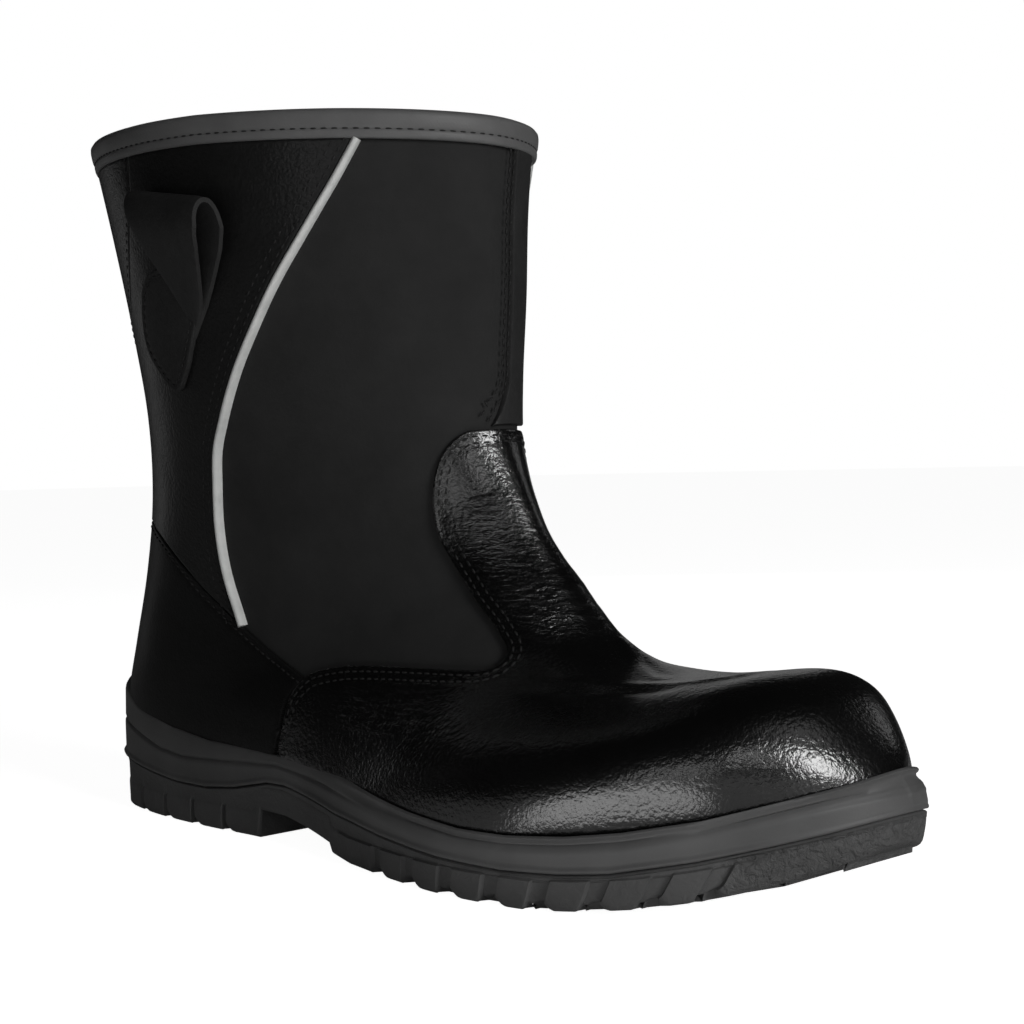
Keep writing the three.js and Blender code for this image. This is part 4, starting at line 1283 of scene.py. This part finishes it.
def outsole():
    runs = sole_columns()
    at, _ = outline_at(runs)
    order = np.argsort([n[0] for n in NOTCHES])
    notch_runs = np.array([NOTCHES[k][0] for k in order])
    leans = np.array([math.tan(math.radians(NOTCHES[k][2])) * -NOTCHES[k][4] for k in order])
    lean = np.interp(runs, notch_runs, leans)
    notch, deep = lug_field(runs)
    corner = corner_lift(runs)
    spans = np.clip(np.minimum((at[:, 0] - LUGS_FROM) / 2, (LUGS_TO - at[:, 0]) / 2), 0, 1)
    rows = []
    for inset, line, height, heel_tuck, toe_tuck in OUTSOLE_SIDE:
        slant = runs + (lean * height if line is None else lean * LUG_TOP)
        there, _ = outline_at(slant)
        x = there[:, 0]
        heel, toe = tucks(x)
        bottom = height_on(BOTTOM_LINE, x)
        rib = height_on(RIB_LINE, x)
        if line is None:
            z = np.minimum(bottom + height, rib - RIB_CLEAR + 0.02 * height)
            foot = max(1 - height / FOOT_HIGH, 0)
            z = z + np.maximum(NOTCH_LIFT * notch, corner) * foot
            fade = 1.0 if height < NOTCH_TOP else max(1 - (height - NOTCH_TOP) / NOTCH_FADE, 0)
            depth = inset + (deep * notch) * fade + FOOT_TUCK * foot * np.maximum(notch, corner)
        else:
            z = rib + height
            depth = np.full(len(runs), inset)
        if height >= LEDGE_FROM if line is None else height < LEDGE_TO:
            depth = depth + LEDGE * spans
        depth = depth + heel_tuck * heel + toe_tuck * toe
        rows.append(ring_points(slant, depth, z))
    rows = rows[::-1]

    def underside(points):
        count = len(runs)
        ring = points[-count:]
        flat_ring = ring[:, :2]
        grooves = []
        for x, across in CROSS_GROOVES:
            rear, front, end = x - CROSS_GROOVE_WIDE / 2, x + CROSS_GROOVE_WIDE / 2, across / 2
            grooves.append([(rear, -end), (front, -end), (front, end), (rear, end)])
        for run, wide, _, _, _ in NOTCHES:
            place, out = outline_at(np.array([run]))
            along = np.array([-out[0][1], out[0][0]])
            half = max(wide, LEAST_NOTCH_WIDE) / 2
            near, far = place[0] - out[0] * NOTCH_STARTS, place[0] - out[0] * NOTCH_ENDS
            grooves.append([tuple(near - along * half), tuple(near + along * half), tuple(far + along * half),
                            tuple(far - along * half)])
        verts = [Vector(p) for p in flat_ring]
        edges = [(k, (k + 1) % count) for k in range(count)]
        for groove in grooves:
            start = len(verts)
            verts += [Vector(p) for p in groove]
            edges += [(start + k, start + (k + 1) % 4) for k in range(4)]
        for x, _ in BOTTOM_LINE:
            if 0 < x < TOE_TIP - 4:
                start = len(verts)
                verts += [Vector((x, -70)), Vector((x, 70))]
                edges.append((start, start + 1))
        flat, _, triangles, origins, _, _ = delaunay_2d_cdt(verts, edges, [], 0, 1e-5)
        flat = np.array([tuple(p) for p in flat])
        centres = np.array([flat[list(t)].mean(0) for t in triangles])
        keep = inside_polygon(centres, flat_ring)
        cut = np.zeros(len(centres), bool)
        for groove in grooves:
            cut |= inside_polygon(centres, np.array(groove))
        ring_at = {}
        for k, ids in enumerate(origins):
            for i in ids:
                if i < count:
                    ring_at[k] = i
        more, faces, index = [], [], {}

        def vertex(k, raised_up):
            if k in ring_at and not raised_up:
                return len(points) - count + ring_at[k]
            key = (k, raised_up)
            if key not in index:
                index[key] = len(points) + len(more)
                rise = TREAD_DEEP if raised_up else 0
                more.append((*flat[k], height_on(BOTTOM_LINE, flat[k][0]) + rise))
            return index[key]

        sides_of = {}
        for t, triangle in enumerate(triangles):
            if not keep[t]:
                continue
            up = bool(cut[t])
            ids = [vertex(k, up) for k in triangle]
            faces.append(tuple(ids[::-1]))
            for a, b in zip(triangle, list(triangle[1:]) + [triangle[0]]):
                sides_of.setdefault(frozenset((a, b)), []).append((up, a, b))
        for pair in sides_of.values():
            if len(pair) == 2 and pair[0][0] != pair[1][0]:
                (_, a, b) = pair[0] if not pair[0][0] else pair[1]
                faces.append((vertex(a, False), vertex(b, False), vertex(b, True), vertex(a, True)))
        return np.array(more).reshape(-1, 3), faces

    def stipple(points):
        x, z = points[:, 0], points[:, 2]
        rib = height_on(RIB_LINE, x)
        on = np.clip((x - STIPPLE_FROM) / STIPPLE_RUN, 0, 1) * np.clip((rib - 0.5 - z) / 0.8, 0, 1)
        return {"stipple": 0.12 + 0.88 * on}

    loft_rows("outsole_body", rows, SOLE_RUBBER, "outsole", stipple, sharp=38,
              extra=underside)


midsole()
outsole()
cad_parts["insole"].data.materials.clear()
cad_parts["insole"].data.materials.append(INSOLE_TEXTILE)

# Floor, light and world


FLOOR_GLOW, FLOOR_BOUNCE = 0.96, 0.02
BACKGROUND, SURROUND = 1.0, 0.006


def by_ray(nodes, links, seen, other):
    """Shader that is one thing to the camera and another to what the boot reflects."""
    path = nodes.new("ShaderNodeLightPath")
    mix = nodes.new("ShaderNodeMixShader")
    links.new(path.outputs["Is Camera Ray"], mix.inputs["Fac"])
    links.new(other, mix.inputs[1])
    links.new(seen, mix.inputs[2])
    return mix.outputs[0]


def glow(nodes, kind, strength):
    made = nodes.new(kind)
    made.inputs["Color"].default_value = (1, 1, 1, 1)
    made.inputs["Strength"].default_value = strength
    return made.outputs[0]


def make_stage():
    """White floor up to a white background, both dim in the boot's reflections."""
    bpy.ops.mesh.primitive_plane_add(size=30, location=(0, 0, 0))
    floor = bpy.context.active_object
    floor.name = "floor"
    s = Shader("floor_white")
    s.finish((0.92, 0.92, 0.92, 1), 0.7, Specular_IOR_Level=0.2)
    seen = glow(s.nodes, "ShaderNodeEmission", FLOOR_GLOW)
    other = glow(s.nodes, "ShaderNodeEmission", FLOOR_BOUNCE)
    both = s.add("ShaderNodeAddShader")
    s.links.new(s.surface.outputs[0], both.inputs[0])
    s.links.new(by_ray(s.nodes, s.links, seen, other), both.inputs[1])
    s.links.new(both.outputs[0], s.nodes["Material Output"].inputs["Surface"])
    floor.data.materials.append(s.material)
    world = bpy.data.worlds.new("world")
    bpy.context.scene.world = world
    world.use_nodes = True
    nodes, links = world.node_tree.nodes, world.node_tree.links
    seen = glow(nodes, "ShaderNodeBackground", BACKGROUND)
    other = glow(nodes, "ShaderNodeBackground", SURROUND)
    links.new(by_ray(nodes, links, seen, other), nodes["World Output"].inputs["Surface"])


SOFTBOXES = [
    # name, azimuth, elevation, distance m, width m, height m, watts
    ("toe_key", 86, 17, 1.3, 0.46, 0.5, 6.6),
    ("front_high", 98, 46, 1.3, 0.6, 0.35, 0.25),
    ("tab_key", 52, 19, 1.3, 0.3, 0.26, 0.5),
    ("side_low", 12, 1, 1.3, 0.25, 0.12, 0.16),
    ("side", 25, 8, 1.3, 0.5, 0.25, 0.38),
    ("rear", 220, 8, 1.3, 0.45, 0.35, 0.12),
    ("rim", 165, 22, 1.3, 0.4, 0.3, 0.18),
    ("left", -88, 1, 1.3, 0.3, 0.4, 0.12),
]
LIGHT_AIM = (0.02, 0, 0.09)
FLOOR_CARD = {"at": (0.108, -0.163, 0.001), "wide": 0.12, "deep": 0.14, "watts": 0.1}


def soft_box(name, place, facing, width, height, watts):
    data = bpy.data.lights.new(name, "AREA")
    data.shape = "RECTANGLE"
    data.size, data.size_y = width, height
    data.energy = watts
    lamp = bpy.data.objects.new(name, data)
    lamp.location = place
    lamp.rotation_euler = (-facing).to_track_quat("Z", "Y").to_euler()
    lamp.visible_camera = False
    bpy.context.scene.collection.objects.link(lamp)


def make_lights():
    """Soft boxes round the boot, azimuth 0 on its outer side and 90 in front of its toe, and a bright card
    on the floor beside the ball of the foot."""
    aim = Vector(LIGHT_AIM)
    for name, azimuth, elevation, distance, width, height, watts in SOFTBOXES:
        a, e = math.radians(azimuth), math.radians(elevation)
        away = Vector((math.sin(a) * math.cos(e), -math.cos(a) * math.cos(e), math.sin(e)))
        soft_box(name, aim + away * distance, -away, width, height, watts)
    soft_box("floor_card", Vector(FLOOR_CARD["at"]), Vector((0, 0, 1)), FLOOR_CARD["wide"],
             FLOOR_CARD["deep"], FLOOR_CARD["watts"])


make_stage()
make_lights()
bpy.context.scene.view_settings.view_transform = "Standard"
